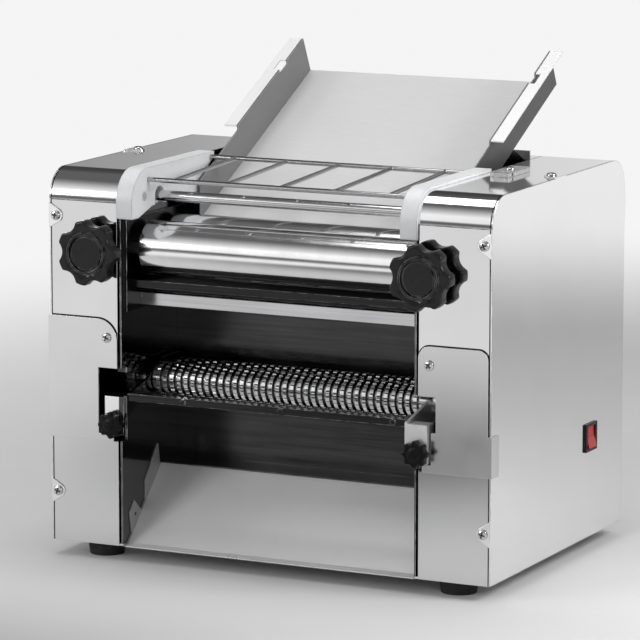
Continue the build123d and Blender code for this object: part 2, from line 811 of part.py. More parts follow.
# ================================================================ side plates and liners
for side, sign in SIDES.items():
    x = sign * knob_x[side]
    wall, wall_t = across(side, liner_x, plate_x)
    with BuildPart() as side_plate:
        with BuildSketch(wall) as face:
            box_between((plate_front_y, floor_z), (plate_rear_y, top_z - sheet_t))
            fillet(face.vertices().group_by(Axis.Y)[-1], corner_r - 2 * sheet_t)
            box_between((plate_front_y, slot_low_z), (slot_rear_y[side], slot_top_z),
                        Mode.SUBTRACT)
            box_between((window_front_y, roller_z - window_h / 2),
                        (window_rear_y, roller_z + window_h / 2), Mode.SUBTRACT)
            box_between((plate_front_y, roller_z - collar_d / 2 - slot_gap),
                        (window_rear_y, roller_z + collar_d / 2 + slot_gap), Mode.SUBTRACT)
            for y in (rear_roller_y, layshaft_y):
                circle_at(y, roller_z, journal_r + running, Mode.SUBTRACT)
            if side == "right":
                circle_at(motor_y, motor_z, motor_shaft_r + slot_gap, Mode.SUBTRACT)
                for z in (link_z, cutter_z):
                    circle_at(rear_roller_y, z, stud_d / 2 + slip, Mode.SUBTRACT)
        extrude(amount=wall_t)
        with BuildSketch(facing(plate_front_y)):
            box_between((sign * clamp_x, roller_z - arm_h / 2),
                        (x + sign * (arm_margin + screw_r), roller_z + arm_h / 2))
        extrude(amount=lug_t)
        with BuildSketch(facing(plate_front_y)):
            circle_at(x, roller_z, screw_r + running)
        extrude(amount=lug_t, mode=Mode.SUBTRACT)
        with BuildSketch(facing(clamp_tip_y + slot_gap)):
            circle_at(sign * clamp_x, clamp_z, clamp_screw_d / 2 + 2 * running)
        extrude(amount=clamp_bite + slot_gap, mode=Mode.SUBTRACT)
    save(side_plate.part, f"side_plate_{side}")

    skin, skin_t = across(side, throat_x, liner_x)
    with BuildPart() as liner:
        with BuildSketch(skin):
            add(casing_side(0.0, floor_z))
            box_between((panel_rear_y, floor_z - air), (rear_y + air, seam_z), Mode.SUBTRACT)
            box_between((front_y - air, notch_low_z), (plate_front_y, notch_top_z), Mode.SUBTRACT)
            box_between((front_y, slot_low_z), (slot_rear_y[side], slot_top_z), Mode.SUBTRACT)
            box_between((journal_front_y, roller_z - journal_r - slot_gap),
                        (front_roller_y + close_travel, roller_z + journal_r + slot_gap),
                        Mode.SUBTRACT)
            for y in (journal_front_y, front_roller_y + close_travel, rear_roller_y, layshaft_y):
                circle_at(y, roller_z, journal_r + slot_gap, Mode.SUBTRACT)
            if side == "right":
                circle_at(motor_y, motor_z, motor_shaft_r + slot_gap, Mode.SUBTRACT)
        extrude(amount=skin_t)
    save(liner.part, f"liner_{side}")

# ================================================================ casing sheets
with BuildPart() as base_plate:
    with BuildSketch(Plane.XY.offset(base_z)):
        box_between((-inner_x, panel_front_y), (inner_x, panel_rear_y))
        box_between((-throat_x, front_y), (throat_x, base_notch_y), Mode.SUBTRACT)
    extrude(amount=base_t)
    for x in (motor_start_x + saddle_w, motor_end_x - 2 * saddle_w):
        with BuildSketch(Plane.YZ.offset(x)):
            box_between((motor_y - saddle_seat / 2, floor_z),
                        (motor_y + saddle_seat / 2, motor_z - motor_d / 4))
            circle_at(motor_y, motor_z, motor_d / 2 + slip, Mode.SUBTRACT)
        extrude(amount=saddle_w)
save(base_plate.part, "base_plate")

with BuildPart() as feet:
    with BuildSketch(Plane.XY):
        for x in (-half_w + foot_inset_x, half_w - foot_inset_x):
            for y in (front_y + foot_inset_y, rear_y - foot_inset_y):
                circle_at(x, y, foot_d / 2)
    extrude(amount=foot_h, taper=-foot_taper)
save(feet.part, "feet")

with BuildPart() as rear_panel:
    with BuildSketch(facing(rear_y)):
        box_between((-inner_x, base_z), (inner_x, seam_z))
        with Locations((0, base_z + louvre_centre_h)):
            with GridLocations(louvre_w * 1.5, louvre_pitch, 2, louvre_count):
                Rectangle(louvre_w, louvre_h, mode=Mode.SUBTRACT)
        box_between((inlet_x - inlet_w / 2 - slip, inlet_z - inlet_tall / 2 - slip),
                    (inlet_x + inlet_w / 2 + slip, inlet_z + inlet_tall / 2 + slip),
                    Mode.SUBTRACT)
    extrude(amount=sheet_t)
save(rear_panel.part, "rear_panel")

with BuildPart() as rear_deck:
    with BuildSketch(Plane.YZ.offset(-throat_x)):
        add(casing_side(0.0, floor_z))
        add(casing_side(sheet_t, base_z), mode=Mode.SUBTRACT)
        box_between((front_y, base_z), (rear_y, seam_z), Mode.SUBTRACT)
        box_between((front_y, seam_z), (deck_front_y, top_z), Mode.SUBTRACT)
        box_between((deck_front_y, top_z - sheet_t),
                    (deck_front_y + sheet_t, tray_under_z(deck_front_y) - air))
    extrude(amount=2 * throat_x)
save(rear_deck.part, "rear_deck")


def ear_lug(x, z, inward):
    """Fixing ear seen flat: flared at the casing's edge, round at the screw."""
    with BuildSketch(mode=Mode.PRIVATE) as lug:
        circle_at(x + inward, z, ear_r)
        box_between((x, z - ear_flare / 2), (x + inward / 10, z + ear_flare / 2))
        make_hull()
    return lug.sketch


window_y = rocker_w + 2 * rocker_gap
window_z = rocker_h + 2 * rocker_gap
barrel_y = window_y + 2 * barrel_wall
barrel_z = window_z + 2 * barrel_wall
for side, sign in SIDES.items():
    with BuildPart() as front_panel:
        with BuildSketch(facing(panel_front_y)):
            box_between((sign * panel_in_x, base_z), (sign * inner_x, seam_z))
            cut_notch(side, notch_low_z)
            circle_at(sign * knob_x[side], roller_z, panel_hole_d / 2, Mode.SUBTRACT)
        extrude(amount=sheet_t)
        edge, edge_t = across(side, panel_in_x, panel_in_x + sheet_t)
        with BuildSketch(edge):
            box_between((panel_front_y, floor_z), (plate_front_y, seam_z))
            box_between((panel_front_y, notch_low_z), (plate_front_y, notch_top_z), Mode.SUBTRACT)
        extrude(amount=edge_t)
    save(front_panel.part, f"front_panel_{side}")

    over, over_len = across(side, liner_x, inner_x)
    with BuildPart() as wrap_cover:
        with BuildSketch(over):
            add(casing_side(0.0, floor_z))
            add(casing_side(sheet_t, base_z), mode=Mode.SUBTRACT)
            box_between((front_y, base_z), (rear_y, seam_z), Mode.SUBTRACT)
        extrude(amount=over_len)
    save(wrap_cover.part, f"wrap_cover_{side}")

    skin, skin_t = across(side, inner_x, half_w)
    with BuildPart() as side_cover:
        with BuildSketch(skin):
            add(casing_side(0.0, base_z))
            if side == "right":
                box_between((switch_y - barrel_y / 2 - slip, switch_z - barrel_z / 2 - slip),
                            (switch_y + barrel_y / 2 + slip, switch_z + barrel_z / 2 + slip),
                            Mode.SUBTRACT)
        extrude(amount=skin_t)
        for y, thickness in ((front_y, sheet_t), (rear_y, -sheet_t)):
            with BuildSketch(facing(y)):
                for h in (ear_high_h, ear_low_h):
                    add(ear_lug(sign * half_w, base_z + h, -sign * ear_in))
            extrude(amount=thickness)
        with BuildSketch(Plane.XY.offset(top_z)):
            add(ear_lug(sign * half_w, front_y + top_ear_back, -sign * top_ear_in))
        extrude(amount=sheet_t)
    save(side_cover.part, f"side_cover_{side}")

    with BuildPart() as lower_cover:
        with BuildSketch(facing(front_y)) as face:
            box_between((sign * panel_in_x, base_z + cover_low_h),
                        (sign * cover_out_x[side], base_z + cover_top_h))
            top_corners = face.vertices().group_by(Axis.Y)[-1].sort_by(Axis.X)
            fillet(top_corners[-1] if side == "left" else top_corners[0], cover_corner_r[side])
            if side == "right":
                outer_corner = face.vertices().group_by(Axis.Y)[-1].sort_by(Axis.X)[-1]
                fillet(outer_corner, cover_outer_r)
                box_between((cover_out_x[side], base_z + cover_low_h),
                            (half_w, base_z + cover_low_h + flap_h))
            cut_notch(side, base_z)
        extrude(amount=cover_t)
        with BuildSketch(Plane.XY.offset(base_z + cover_low_h)):
            box_between((sign * half_w, front_y - cover_t),
                        (sign * (half_w + cover_t), front_y + flap_d))
        extrude(amount=flap_h)
    save(lower_cover.part, f"lower_cover_{side}")

# ================================================================ caps and guard
cap_high_z = top_z + cap_proud
cap_rear_y = front_y + cap_rear_back
cap_skirt_z = base_z + cap_skirt_h
cap_low_z = base_z + cap_low_h
bush_gap = guard_bush_d / 2 + slot_gap
for side, sign in SIDES.items():
    with BuildSketch(mode=Mode.PRIVATE) as profile:
        Polygon(
            (front_y - cap_proud, cap_low_z),
            (front_y - cap_proud, cap_high_z),
            (cap_rear_y, cap_high_z),
            (cap_rear_y, cap_high_z - cap_toe),
            (cap_rear_y - cap_toe_run, cap_high_z - 2 * cap_toe),
            (cap_rear_y - cap_ramp, cap_skirt_z),
            (rod_c[0] - cap_web[0], cap_skirt_z - cap_web[1]),
            (rod_c[0] - cap_jaw, cap_low_z),
            align=None,
        )
        corner = profile.vertices().group_by(Axis.Y)[-1].sort_by(Axis.X)[0]
        fillet(corner, corner_r + cap_proud)
    slab, slab_t = across(side, cap_x, throat_x)
    lip, lip_t = across(side, throat_x, throat_x + cap_lip)
    with BuildPart() as cap:
        with BuildSketch(slab):
            add(profile.sketch)
            circle_at(*rod_c, bush_gap, Mode.SUBTRACT)
            box_between((rod_c[0] - bush_gap, cap_low_z), (rod_c[0] + bush_gap, rod_c[1]),
                        Mode.SUBTRACT)
        extrude(amount=slab_t)
        with BuildSketch(lip):
            add(profile.sketch)
            add(casing_side(0.0, floor_z), mode=Mode.SUBTRACT)
        extrude(amount=lip_t)
        seat, seat_t = across(side, cap_x, cap_x + rod_seat)
        with BuildSketch(seat):
            for rod in (rod_a, rod_b):
                circle_at(*rod, rod_d / 2 + slip)
            circle_at(front_y + cap_recess_back, base_z + cap_recess_h, cap_recess_d / 2)
        extrude(amount=seat_t, mode=Mode.SUBTRACT)
    save(cap.part, f"cap_{side}")

rod_half = cap_x + rod_seat - air
with BuildPart() as guard_grille:
    with BuildSketch(Plane.YZ.offset(-rod_half)):
        for rod in (rod_a, rod_b):
            circle_at(*rod, rod_d / 2)
    extrude(amount=2 * rod_half)
    for bar in range(bar_count):
        x = (bar - (bar_count - 1) / 2) * bar_pitch
        along = (0, rod_b[0] - rod_a[0], rod_b[1] - rod_a[1])
        with BuildSketch(Plane(origin=(x, *rod_a), x_dir=(1, 0, 0), z_dir=along)):
            Circle(bar_d / 2)
        extrude(amount=dist(rod_a, rod_b))
save(guard_grille.part, "guard_grille")

save(turned(*rod_c, (
    (-throat_x, throat_x, guard_rod_d / 2),
    (-throat_x, guard_bush_w - throat_x, guard_bush_d / 2),
    (throat_x - guard_bush_w, throat_x, guard_bush_d / 2),
)), "guard_rod")

interlock_y = front_y + interlock_back
with BuildPart() as interlock_block:
    with BuildSketch(Plane.XY.offset(top_z)) as face:
        with Locations((interlock_x, interlock_y)):
            Rectangle(interlock_w, interlock_d)
        fillet(face.vertices(), interlock_t / 2)
    extrude(amount=interlock_t)
    with BuildSketch(Plane.YZ.offset(interlock_x)):
        with Locations((interlock_y - interlock_d / 3, top_z + interlock_t / 2)):
            Rectangle(interlock_slot, interlock_slot)
    extrude(amount=interlock_w, mode=Mode.SUBTRACT)
save(interlock_block.part, "interlock_block")

# ================================================================ under the press rollers
bracket_x = throat_x - bracket_plate_t
bracket_low = roller_z - bracket_plate_drop
bracket_high = roller_z + bracket_plate_rise
shelf_top_z = bulkhead_step_z + sheet_t
tie_low_z = bracket_low + tie_bar_lift
tie_top_z = tie_low_z + tie_bar_h
with BuildPart() as scraper_frame:
    for side in SIDES:
        wall, wall_t = across(side, bracket_x, throat_x)
        with BuildSketch(wall):
            Polygon(
                (front_y + bracket_plate_back, bracket_low),
                (front_y + bracket_plate_back, bracket_high),
                (bulkhead_top_y - 3 * sheet_t, bracket_high),
                (bulkhead_top_y - 3 * sheet_t, shelf_top_z + air),
                (bulkhead_y - 2 * sheet_t, shelf_top_z + air),
                (bulkhead_y - 2 * sheet_t, bracket_low),
                align=None,
            )
            for y in (journal_front_y, front_roller_y + close_travel, rear_roller_y):
                circle_at(y, roller_z, journal_r + slot_gap, Mode.SUBTRACT)
            box_between((journal_front_y, roller_z - journal_r - slot_gap),
                        (front_roller_y + close_travel, roller_z + journal_r + slot_gap),
                        Mode.SUBTRACT)
        extrude(amount=wall_t)
    for toward in (-1, 1):
        leg_y = nip_y + toward * tie_bar_half_gap
        with BuildSketch(Plane.YZ.offset(-bracket_x)):
            box_between((leg_y, tie_low_z), (leg_y - toward * tie_bar_t, tie_top_z))
            box_between((leg_y, tie_top_z - tie_bar_t), (leg_y - toward * tie_bar_flange, tie_top_z))
        extrude(amount=2 * bracket_x)
        with BuildSketch(Plane.XY.offset(tie_top_z - tie_bar_t)):
            with Locations((0, leg_y - toward * (tie_bar_flange + tie_bar_t) / 2)):
                with GridLocations(2 * bracket_x / (tie_slot_count + 1), 1, tie_slot_count, 1):
                    Rectangle(tie_slot_w, tie_slot_d)
        extrude(amount=tie_bar_t, mode=Mode.SUBTRACT)
save(scraper_frame.part, "scraper_frame")

lean = radians(scraper_angle)
tip_half_gap = nip_gap / 2 + roller_r + open_travel + (roller_r + air) * cos(lean)
tip_z = roller_z - (roller_r + air) * sin(lean)
with BuildPart() as scrapers:
    for toward in (-1, 1):
        tip = (nip_y + toward * tip_half_gap, tip_z)
        fold = (tip[0] + toward * scraper_reach, tip_z - scraper_fall)
        foot = (fold[0], fold[1] - scraper_flange)
        path = (tip, fold, foot) if toward < 0 else (foot, fold, tip)
        add(folded_sheet(path, bracket_x, scraper_t))
save(scrapers.part, "scrapers")

with BuildPart() as cross_rods:
    with BuildSketch(Plane.YZ.offset(-throat_x)):
        circle_at(tray_rest_y, tray_under_z(tray_rest_y) - (tray_rest_d / 2 + air) / cos(slope),
                  tray_rest_d / 2)
        circle_at(rear_y - 2 * corner_r, seam_z - corner_r, tie_rod_d / 2)
        circle_at(rear_y - corner_r, base_z + corner_r, tie_rod_d / 2)
        circle_at(bulkhead_top_y, base_z + corner_r, tie_rod_d / 2)
    extrude(amount=2 * throat_x)
    with BuildSketch(Plane.YZ.offset(-bracket_x)):
        for toward in (-1, 1):
            circle_at(nip_y + toward * strip_rod_half_gap, roller_z - strip_rod_drop,
                      strip_rod_d / 2)
    extrude(amount=2 * bracket_x)
save(cross_rods.part, "cross_rods")

chute_front_y = front_y + chute_front_back
chute_front_z = base_z + chute_front_h
chute_rise = (chute_top_z - chute_front_z) / (chute_top_y - chute_front_y)
tab_front_y = chute_top_y - chute_tab_d
tab_front_z = chute_top_z - chute_tab_d * chute_rise
with BuildPart() as noodle_chute:
    with BuildSketch(Plane.YZ.offset(-throat_x)):
        with BuildLine():
            face_line = Polyline(
                (front_y + chute_lip_back, base_z - chute_lip_drop),
                (chute_front_y, chute_front_z),
                (chute_top_y, chute_top_z),
                (chute_top_y + chute_shelf, chute_top_z),
            )
            offset(face_line, amount=sheet_t, side=Side.LEFT)
        make_face()
    extrude(amount=2 * throat_x)
    for side in SIDES:
        tab, tab_t = across(side, throat_x - sheet_t, throat_x)
        with BuildSketch(tab):
            Polygon(
                (tab_front_y, tab_front_z),
                (chute_top_y - sheet_t, chute_top_z),
                (chute_top_y - chute_tab_lean, chute_top_z + chute_tab_h),
                (tab_front_y, tab_front_z + chute_tab_h),
                align=None,
            )
            Polygon(
                *[(chute_front_y + run, chute_front_z + run * chute_rise) for run in hook_run],
                *[(chute_front_y + run, chute_front_z + rise) for run, rise in hook_top],
                align=None,
            )
            circle_at(chute_front_y + hook_hole[0], chute_front_z + hook_hole[1],
                      hook_hole_d / 2, Mode.SUBTRACT)
        extrude(amount=tab_t)
save(noodle_chute.part, "noodle_chute")

riser_y = deck_front_y + 2 * sheet_t
bulkhead = folded_sheet((
    (chute_top_y, chute_top_z + sheet_t),
    (bulkhead_y, chute_top_z + sheet_t),
    (bulkhead_y, bulkhead_step_z),
    (bulkhead_top_y, bulkhead_step_z),
    (bulkhead_top_y, tray_under_z(bulkhead_top_y) - bulkhead_drop),
    (riser_y, tray_under_z(riser_y) - bulkhead_drop),
    (riser_y, top_z - sheet_t),
), throat_x, sheet_t)
save(bulkhead, "bulkhead")

# ================================================================ hopper tray
wall_rise = tray_wall / cos(slope)
low_rise = tray_low_wall / cos(slope)
skin_rise = tray_t / cos(slope)
lean_y, lean_z = sin(slope), cos(slope)
rear_top = (tray_rear_y - tray_wall * lean_y, tray_rear_z + tray_wall * lean_z)
rear_flange = (rear_top[0] + tray_t * lean_y, rear_top[1] - tray_t * lean_z)
front_under_z = tray_under_z(tray_front_y)
step_under_z = tray_under_z(tray_step_y)
slot_y = rear_top[0] - tray_slot_at * (rear_top[0] - tray_step_y)
slot_ends = (slot_y - tray_slot_len / 2, slot_y + tray_slot_len / 2)
with BuildPart() as hopper_tray:
    with BuildSketch(Plane.YZ.offset(-tray_half)):
        Polygon(
            (tray_front_y, front_under_z),
            (tray_rear_y, tray_rear_z),
            (tray_rear_y - tray_t * lean_y, tray_rear_z + tray_t * lean_z),
            (tray_front_y, front_under_z + skin_rise),
            align=None,
        )
    extrude(amount=2 * tray_half)
    for side in SIDES:
        wall, wall_t = across(side, tray_half - tray_t, tray_half)
        with BuildSketch(wall):
            Polygon(
                (tray_front_y, front_under_z),
                (tray_rear_y, tray_rear_z),
                rear_top,
                (tray_step_y, step_under_z + wall_rise),
                (tray_step_y, step_under_z + low_rise),
                (tray_front_y, front_under_z + low_rise),
                align=None,
            )
        extrude(amount=wall_t)
        rim, rim_t = across(side, tray_half - tray_t, tray_half + tray_flange)
        with BuildSketch(rim):
            Polygon(
                rear_top,
                rear_flange,
                (tray_step_y, step_under_z + wall_rise - skin_rise),
                (tray_step_y, step_under_z + wall_rise),
                align=None,
            )
        extrude(amount=rim_t)
        slot, slot_t = across(side, tray_half - 2 * tray_t, tray_half + tray_slot_w)
        with BuildSketch(slot):
            Polygon(
                *[(y, tray_under_z(y) + wall_rise - 3 * skin_rise) for y in slot_ends],
                *[(y, tray_under_z(y) + wall_rise + skin_rise) for y in reversed(slot_ends)],
                align=None,
            )
        extrude(amount=slot_t, mode=Mode.SUBTRACT)
save(hopper_tray.part, "hopper_tray")

# ================================================================ switch and power inlet
with BuildPart() as switch_bezel:
    with BuildSketch(Plane.YZ.offset(half_w)):
        with Locations((switch_y, switch_z)):
            Rectangle(bezel_w, bezel_w)
            Rectangle(window_y, window_z, mode=Mode.SUBTRACT)
    extrude(amount=bezel_t)
    with BuildSketch(Plane.YZ.offset(half_w - barrel_depth)):
        with Locations((switch_y, switch_z)):
            Rectangle(barrel_y, barrel_z)
            Rectangle(window_y, window_z, mode=Mode.SUBTRACT)
    extrude(amount=barrel_depth)
    with BuildSketch(Plane.YZ.offset(half_w - barrel_depth)):
        with Locations((switch_y, switch_z)):
            Rectangle(barrel_y, barrel_z)
    extrude(amount=barrel_wall)
save(switch_bezel.part, "switch_bezel")

tilt = radians(rocker_tilt)
rocker_plane = Plane(
    origin=(half_w + bezel_t / 2, switch_y + rocker_w / 2, switch_z),
    x_dir=(cos(tilt), 0, sin(tilt)),
    z_dir=(0, -1, 0),
)
rocker_r = rocker_h / 2
with BuildPart() as power_rocker:
    with BuildSketch(rocker_plane):
        Polygon(
            (bezel_t / 2, -rocker_r),
            (0, 0),
            (bezel_t / 2, rocker_r),
            (-bezel_t, rocker_r),
            (-rocker_r / 2, rocker_r * rocker_root),
            (-rocker_r / 2, -rocker_r * rocker_root),
            (-bezel_t, -rocker_r),
            align=None,
        )
    extrude(amount=rocker_w)
save(power_rocker.part, "power_rocker")

with BuildPart() as power_inlet:
    with BuildSketch(facing(rear_y)):
        with Locations((inlet_x, inlet_z)):
            Rectangle(inlet_w + 2 * inlet_lap, inlet_tall + 2 * inlet_lap)
    extrude(amount=-bezel_t)
    with BuildSketch(facing(rear_y)):
        with Locations((inlet_x, inlet_z)):
            Rectangle(inlet_w, inlet_tall)
    extrude(amount=inlet_depth)
    with BuildSketch(facing(rear_y + bezel_t)):
        with Locations((inlet_x, inlet_z)):
            Rectangle(inlet_w - 2 * barrel_wall, inlet_tall - 2 * barrel_wall)
    extrude(amount=inlet_depth, mode=Mode.SUBTRACT)
    with BuildSketch(facing(rear_y - inlet_depth + bezel_t)) as pins:
        with Locations((inlet_x, inlet_z)):
            with GridLocations(inlet_w / 4, 1, 3, 1):
                Rectangle(inlet_pin_d / 2, inlet_pin_d)
    extrude(amount=bezel_t - inlet_depth + inlet_pin_d)
save(power_inlet.part, "power_inlet")

# ================================================================ screw heads
def head_at(first, second):
    """A screw head's outline at a point of the sketch."""
    with Locations((first, second)):
        RegularPolygon(head_d / 2, head_sides)


with BuildPart() as cover_screws:
    for sign in SIDES.values():
        for y, height in ((front_y - sheet_t, head_t), (rear_y + sheet_t, -head_t)):
            with BuildSketch(facing(y)):
                for h in (ear_high_h, ear_low_h):
                    head_at(sign * (half_w - ear_in), base_z + h)
            extrude(amount=height)
        with BuildSketch(facing(front_y - cover_t)):
            head_at(sign * cover_screw_x, base_z + cover_screw_h)
        extrude(amount=head_t)
        with BuildSketch(Plane.XY.offset(top_z + sheet_t)):
            head_at(sign * (half_w - top_ear_in), front_y + top_ear_back)
        extrude(amount=head_t)
    with BuildSketch(Plane.XY.offset(top_z + interlock_t)):
        head_at(interlock_x, interlock_y)
    extrude(amount=head_t)
save(cover_screws.part, "cover_screws")
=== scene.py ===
"""Looks of the electric pasta maker: finishes for every piece, fine pieces, light and camera."""

from math import cos, pi, radians, sin

import bmesh
import bpy
from mathutils import Matrix, Vector


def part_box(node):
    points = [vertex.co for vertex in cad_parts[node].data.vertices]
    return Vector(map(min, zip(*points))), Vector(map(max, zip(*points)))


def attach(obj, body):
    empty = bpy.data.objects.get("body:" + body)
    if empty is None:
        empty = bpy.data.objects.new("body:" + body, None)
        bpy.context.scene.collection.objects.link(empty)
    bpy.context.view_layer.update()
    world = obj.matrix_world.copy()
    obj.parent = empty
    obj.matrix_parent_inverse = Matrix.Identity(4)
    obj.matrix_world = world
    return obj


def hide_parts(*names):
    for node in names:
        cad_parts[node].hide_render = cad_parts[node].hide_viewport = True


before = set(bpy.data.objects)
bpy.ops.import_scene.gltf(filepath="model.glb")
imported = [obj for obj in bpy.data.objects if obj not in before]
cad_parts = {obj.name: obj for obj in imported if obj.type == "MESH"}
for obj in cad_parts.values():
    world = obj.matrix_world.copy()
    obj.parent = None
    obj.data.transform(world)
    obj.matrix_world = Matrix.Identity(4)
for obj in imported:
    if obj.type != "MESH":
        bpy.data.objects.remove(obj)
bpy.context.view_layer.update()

MM = 0.001
ACROSS = (1.0, 0.0, 0.0)
UPWARDS = (0.0, 0.0, 1.0)


# ---------------------------------------------------------------- node helpers
def add_node(tree, kind, place, **values):
    """A node of that kind; values set its own properties."""
    node = tree.nodes.new(kind)
    node.location = place
    for name, value in values.items():
        setattr(node, name, value)
    return node


def shader_group(name, inputs, outputs):
    """An empty shader group. inputs and outputs are (name, socket kind, default)."""
    tree = bpy.data.node_groups.new(name, "ShaderNodeTree")
    for label, kind, default in inputs:
        socket = tree.interface.new_socket(label, in_out="INPUT", socket_type=kind)
        socket.default_value = default
    for label, kind in outputs:
        tree.interface.new_socket(label, in_out="OUTPUT", socket_type=kind)
    start = add_node(tree, "NodeGroupInput", (-900, 0))
    end = add_node(tree, "NodeGroupOutput", (900, 0))
    return tree, start, end


def use_group(tree, group, place, **values):
    """The group placed in a material, with its inputs set."""
    node = add_node(tree, "ShaderNodeGroup", place, node_tree=group)
    for name, value in values.items():
        node.inputs[name.replace("_", " ")].default_value = value
    return node


def join(tree, *links):
    """Link pairs of sockets."""
    for source, target in links:
        tree.links.new(source, target)


def feed(tree, sockets, values):
    """Give each socket its value: a number, or a link from another socket."""
    for socket, value in zip(sockets, values):
        if isinstance(value, bpy.types.NodeSocket):
            tree.links.new(value, socket)
        else:
            socket.default_value = value


def worked_value(tree, operation, place, first, second=0.0):
    """A Math node on one or two sockets or numbers."""
    node = add_node(tree, "ShaderNodeMath", place, operation=operation)
    feed(tree, node.inputs, (first, second))
    return node.outputs[0]


def vector_of(tree, place, x=0.0, y=0.0, z=0.0):
    """A vector put together from sockets or numbers."""
    node = add_node(tree, "ShaderNodeCombineXYZ", place)
    feed(tree, node.inputs, (x, y, z))
    return node.outputs[0]


def rising(tree, value, low, high, place, **values):
    """A mask that runs from 0 to 1 as a value goes from low to high."""
    node = add_node(tree, "ShaderNodeMapRange", place, **values)
    feed(tree, (node.inputs["From Min"], node.inputs["From Max"], node.inputs["Value"]),
         (low, high, value))
    return node.outputs["Result"]


def eased(tree, value, low, high, place):
    """A mask that rises as rising does, with soft ends."""
    return rising(tree, value, low, high, place, interpolation_type="SMOOTHSTEP")


def object_coords(tree, place=(-900, 300)):
    """Places on a piece, in its own coordinates."""
    return add_node(tree, "ShaderNodeTexCoord", place).outputs["Object"]


# ---------------------------------------------------------------- shared effects
LINE_CONTRAST = (0.3, 0.7)
PATCH_CONTRAST = (0.35, 0.65)
PATCH_SIZE = 9.0
EDGE_LIKENESS = (0.995, 0.85)
EDGE_BREAKUP_CONTRAST = (0.35, 0.6)
OPEN_SKY = (0.85, 0.45)


def make_grain_group():
    """Fine lines drawn out along one direction, as brushing or turning leaves them."""
    tree, start, end = shader_group(
        "Grain",
        [("Stretch", "NodeSocketVector", (400.0, 400.0, 8.0)), ("Detail", "NodeSocketFloat", 4.0)],
        [("Lines", "NodeSocketFloat"), ("Height", "NodeSocketFloat")],
    )
    stretch = add_node(tree, "ShaderNodeVectorMath", (-600, 200), operation="MULTIPLY")
    noise = add_node(tree, "ShaderNodeTexNoise", (-300, 200))
    noise.inputs["Scale"].default_value = 1.0
    join(tree,
         (object_coords(tree), stretch.inputs[0]),
         (start.outputs["Stretch"], stretch.inputs[1]),
         (stretch.outputs[0], noise.inputs["Vector"]),
         (start.outputs["Detail"], noise.inputs["Detail"]),
         (rising(tree, noise.outputs["Fac"], *LINE_CONTRAST, (200, 200)),
          end.inputs["Lines"]),
         (noise.outputs["Fac"], end.inputs["Height"]))
    return tree


def make_smudge_group():
    """Broad soft patches, as wiping and handling leave them on a smooth surface."""
    tree, start, end = shader_group(
        "Smudge",
        [("Size", "NodeSocketFloat", PATCH_SIZE)],
        [("Patches", "NodeSocketFloat")],
    )
    noise = add_node(tree, "ShaderNodeTexNoise", (-300, 200))
    noise.inputs["Detail"].default_value = 5.0
    noise.inputs["Distortion"].default_value = 1.2
    join(tree,
         (object_coords(tree), noise.inputs["Vector"]),
         (start.outputs["Size"], noise.inputs["Scale"]),
         (rising(tree, noise.outputs["Fac"], *PATCH_CONTRAST, (200, 200)),
          end.inputs["Patches"]))
    return tree


def make_edge_group():
    """Rounded edges, and a patchy mask along them whose colour stands for rubbed wear and also
    paints edge highlights and edge shade lines.
    """
    tree, start, end = shader_group(
        "Edge wear and painted edge light",
        [("Radius", "NodeSocketFloat", 0.0006), ("Breakup", "NodeSocketFloat", 120.0)],
        [("Worn And Painted Edge Light", "NodeSocketFloat"), ("Rounded", "NodeSocketVector")],
    )
    bevel = add_node(tree, "ShaderNodeBevel", (-600, 200), samples=4)
    flat = add_node(tree, "ShaderNodeNewGeometry", (-600, -100))
    likeness = add_node(tree, "ShaderNodeVectorMath", (-300, 100), operation="DOT_PRODUCT")
    noise = add_node(tree, "ShaderNodeTexNoise", (-300, -300))
    join(tree,
         (start.outputs["Radius"], bevel.inputs["Radius"]),
         (bevel.outputs["Normal"], likeness.inputs[0]),
         (flat.outputs["Normal"], likeness.inputs[1]),
         (object_coords(tree, (-600, -400)), noise.inputs["Vector"]),
         (start.outputs["Breakup"], noise.inputs["Scale"]),
         (bevel.outputs["Normal"], end.inputs["Rounded"]))
    edge = rising(tree, likeness.outputs["Value"], *EDGE_LIKENESS, (0, 100))
    patchy = rising(tree, noise.outputs["Fac"], *EDGE_BREAKUP_CONTRAST, (0, -300))
    tree.links.new(worked_value(tree, "MULTIPLY", (300, 0), edge, patchy), end.inputs["Worn And Painted Edge Light"])
    return tree


def make_zone_group():
    """A mask that rises between two distances from the middle, measured along a direction."""
    tree, start, end = shader_group(
        "Zone",
        [("Direction", "NodeSocketVector", ACROSS), ("Low", "NodeSocketFloat", 0.0),
         ("High", "NodeSocketFloat", 1.0)],
        [("Inside", "NodeSocketFloat")],
    )
    along = add_node(tree, "ShaderNodeVectorMath", (-600, 200), operation="DOT_PRODUCT")
    join(tree,
         (object_coords(tree), along.inputs[0]),
         (start.outputs["Direction"], along.inputs[1]))
    either = worked_value(tree, "ABSOLUTE", (-300, 200), along.outputs["Value"])
    tree.links.new(rising(tree, either, start.outputs["Low"], start.outputs["High"], (0, 200)),
                   end.inputs["Inside"])
    return tree


def corner_distance(tree, across, up, corner_x, corner_z, radius, outwards, row):
    """How far a point of the panel lies outside a round corner's two edges."""
    if outwards:
        middle_x = worked_value(tree, "SUBTRACT", (-500, row), corner_x, radius)
        beyond_x = worked_value(tree, "SUBTRACT", (-300, row), across, middle_x)
    else:
        middle_x = worked_value(tree, "ADD", (-500, row), corner_x, radius)
        beyond_x = worked_value(tree, "SUBTRACT", (-300, row), middle_x, across)
    middle_z = worked_value(tree, "SUBTRACT", (-500, row - 150), corner_z, radius)
    beyond_z = worked_value(tree, "SUBTRACT", (-300, row - 150), up, middle_z)
    past_x = worked_value(tree, "MAXIMUM", (-150, row), beyond_x, 0.0)
    past_z = worked_value(tree, "MAXIMUM", (-150, row - 150), beyond_z, 0.0)
    length = add_node(tree, "ShaderNodeVectorMath", (150, row), operation="LENGTH")
    tree.links.new(vector_of(tree, (0, row), past_x, 0.0, past_z), length.inputs[0])
    return worked_value(tree, "SUBTRACT", (300, row), length.outputs["Value"], radius)


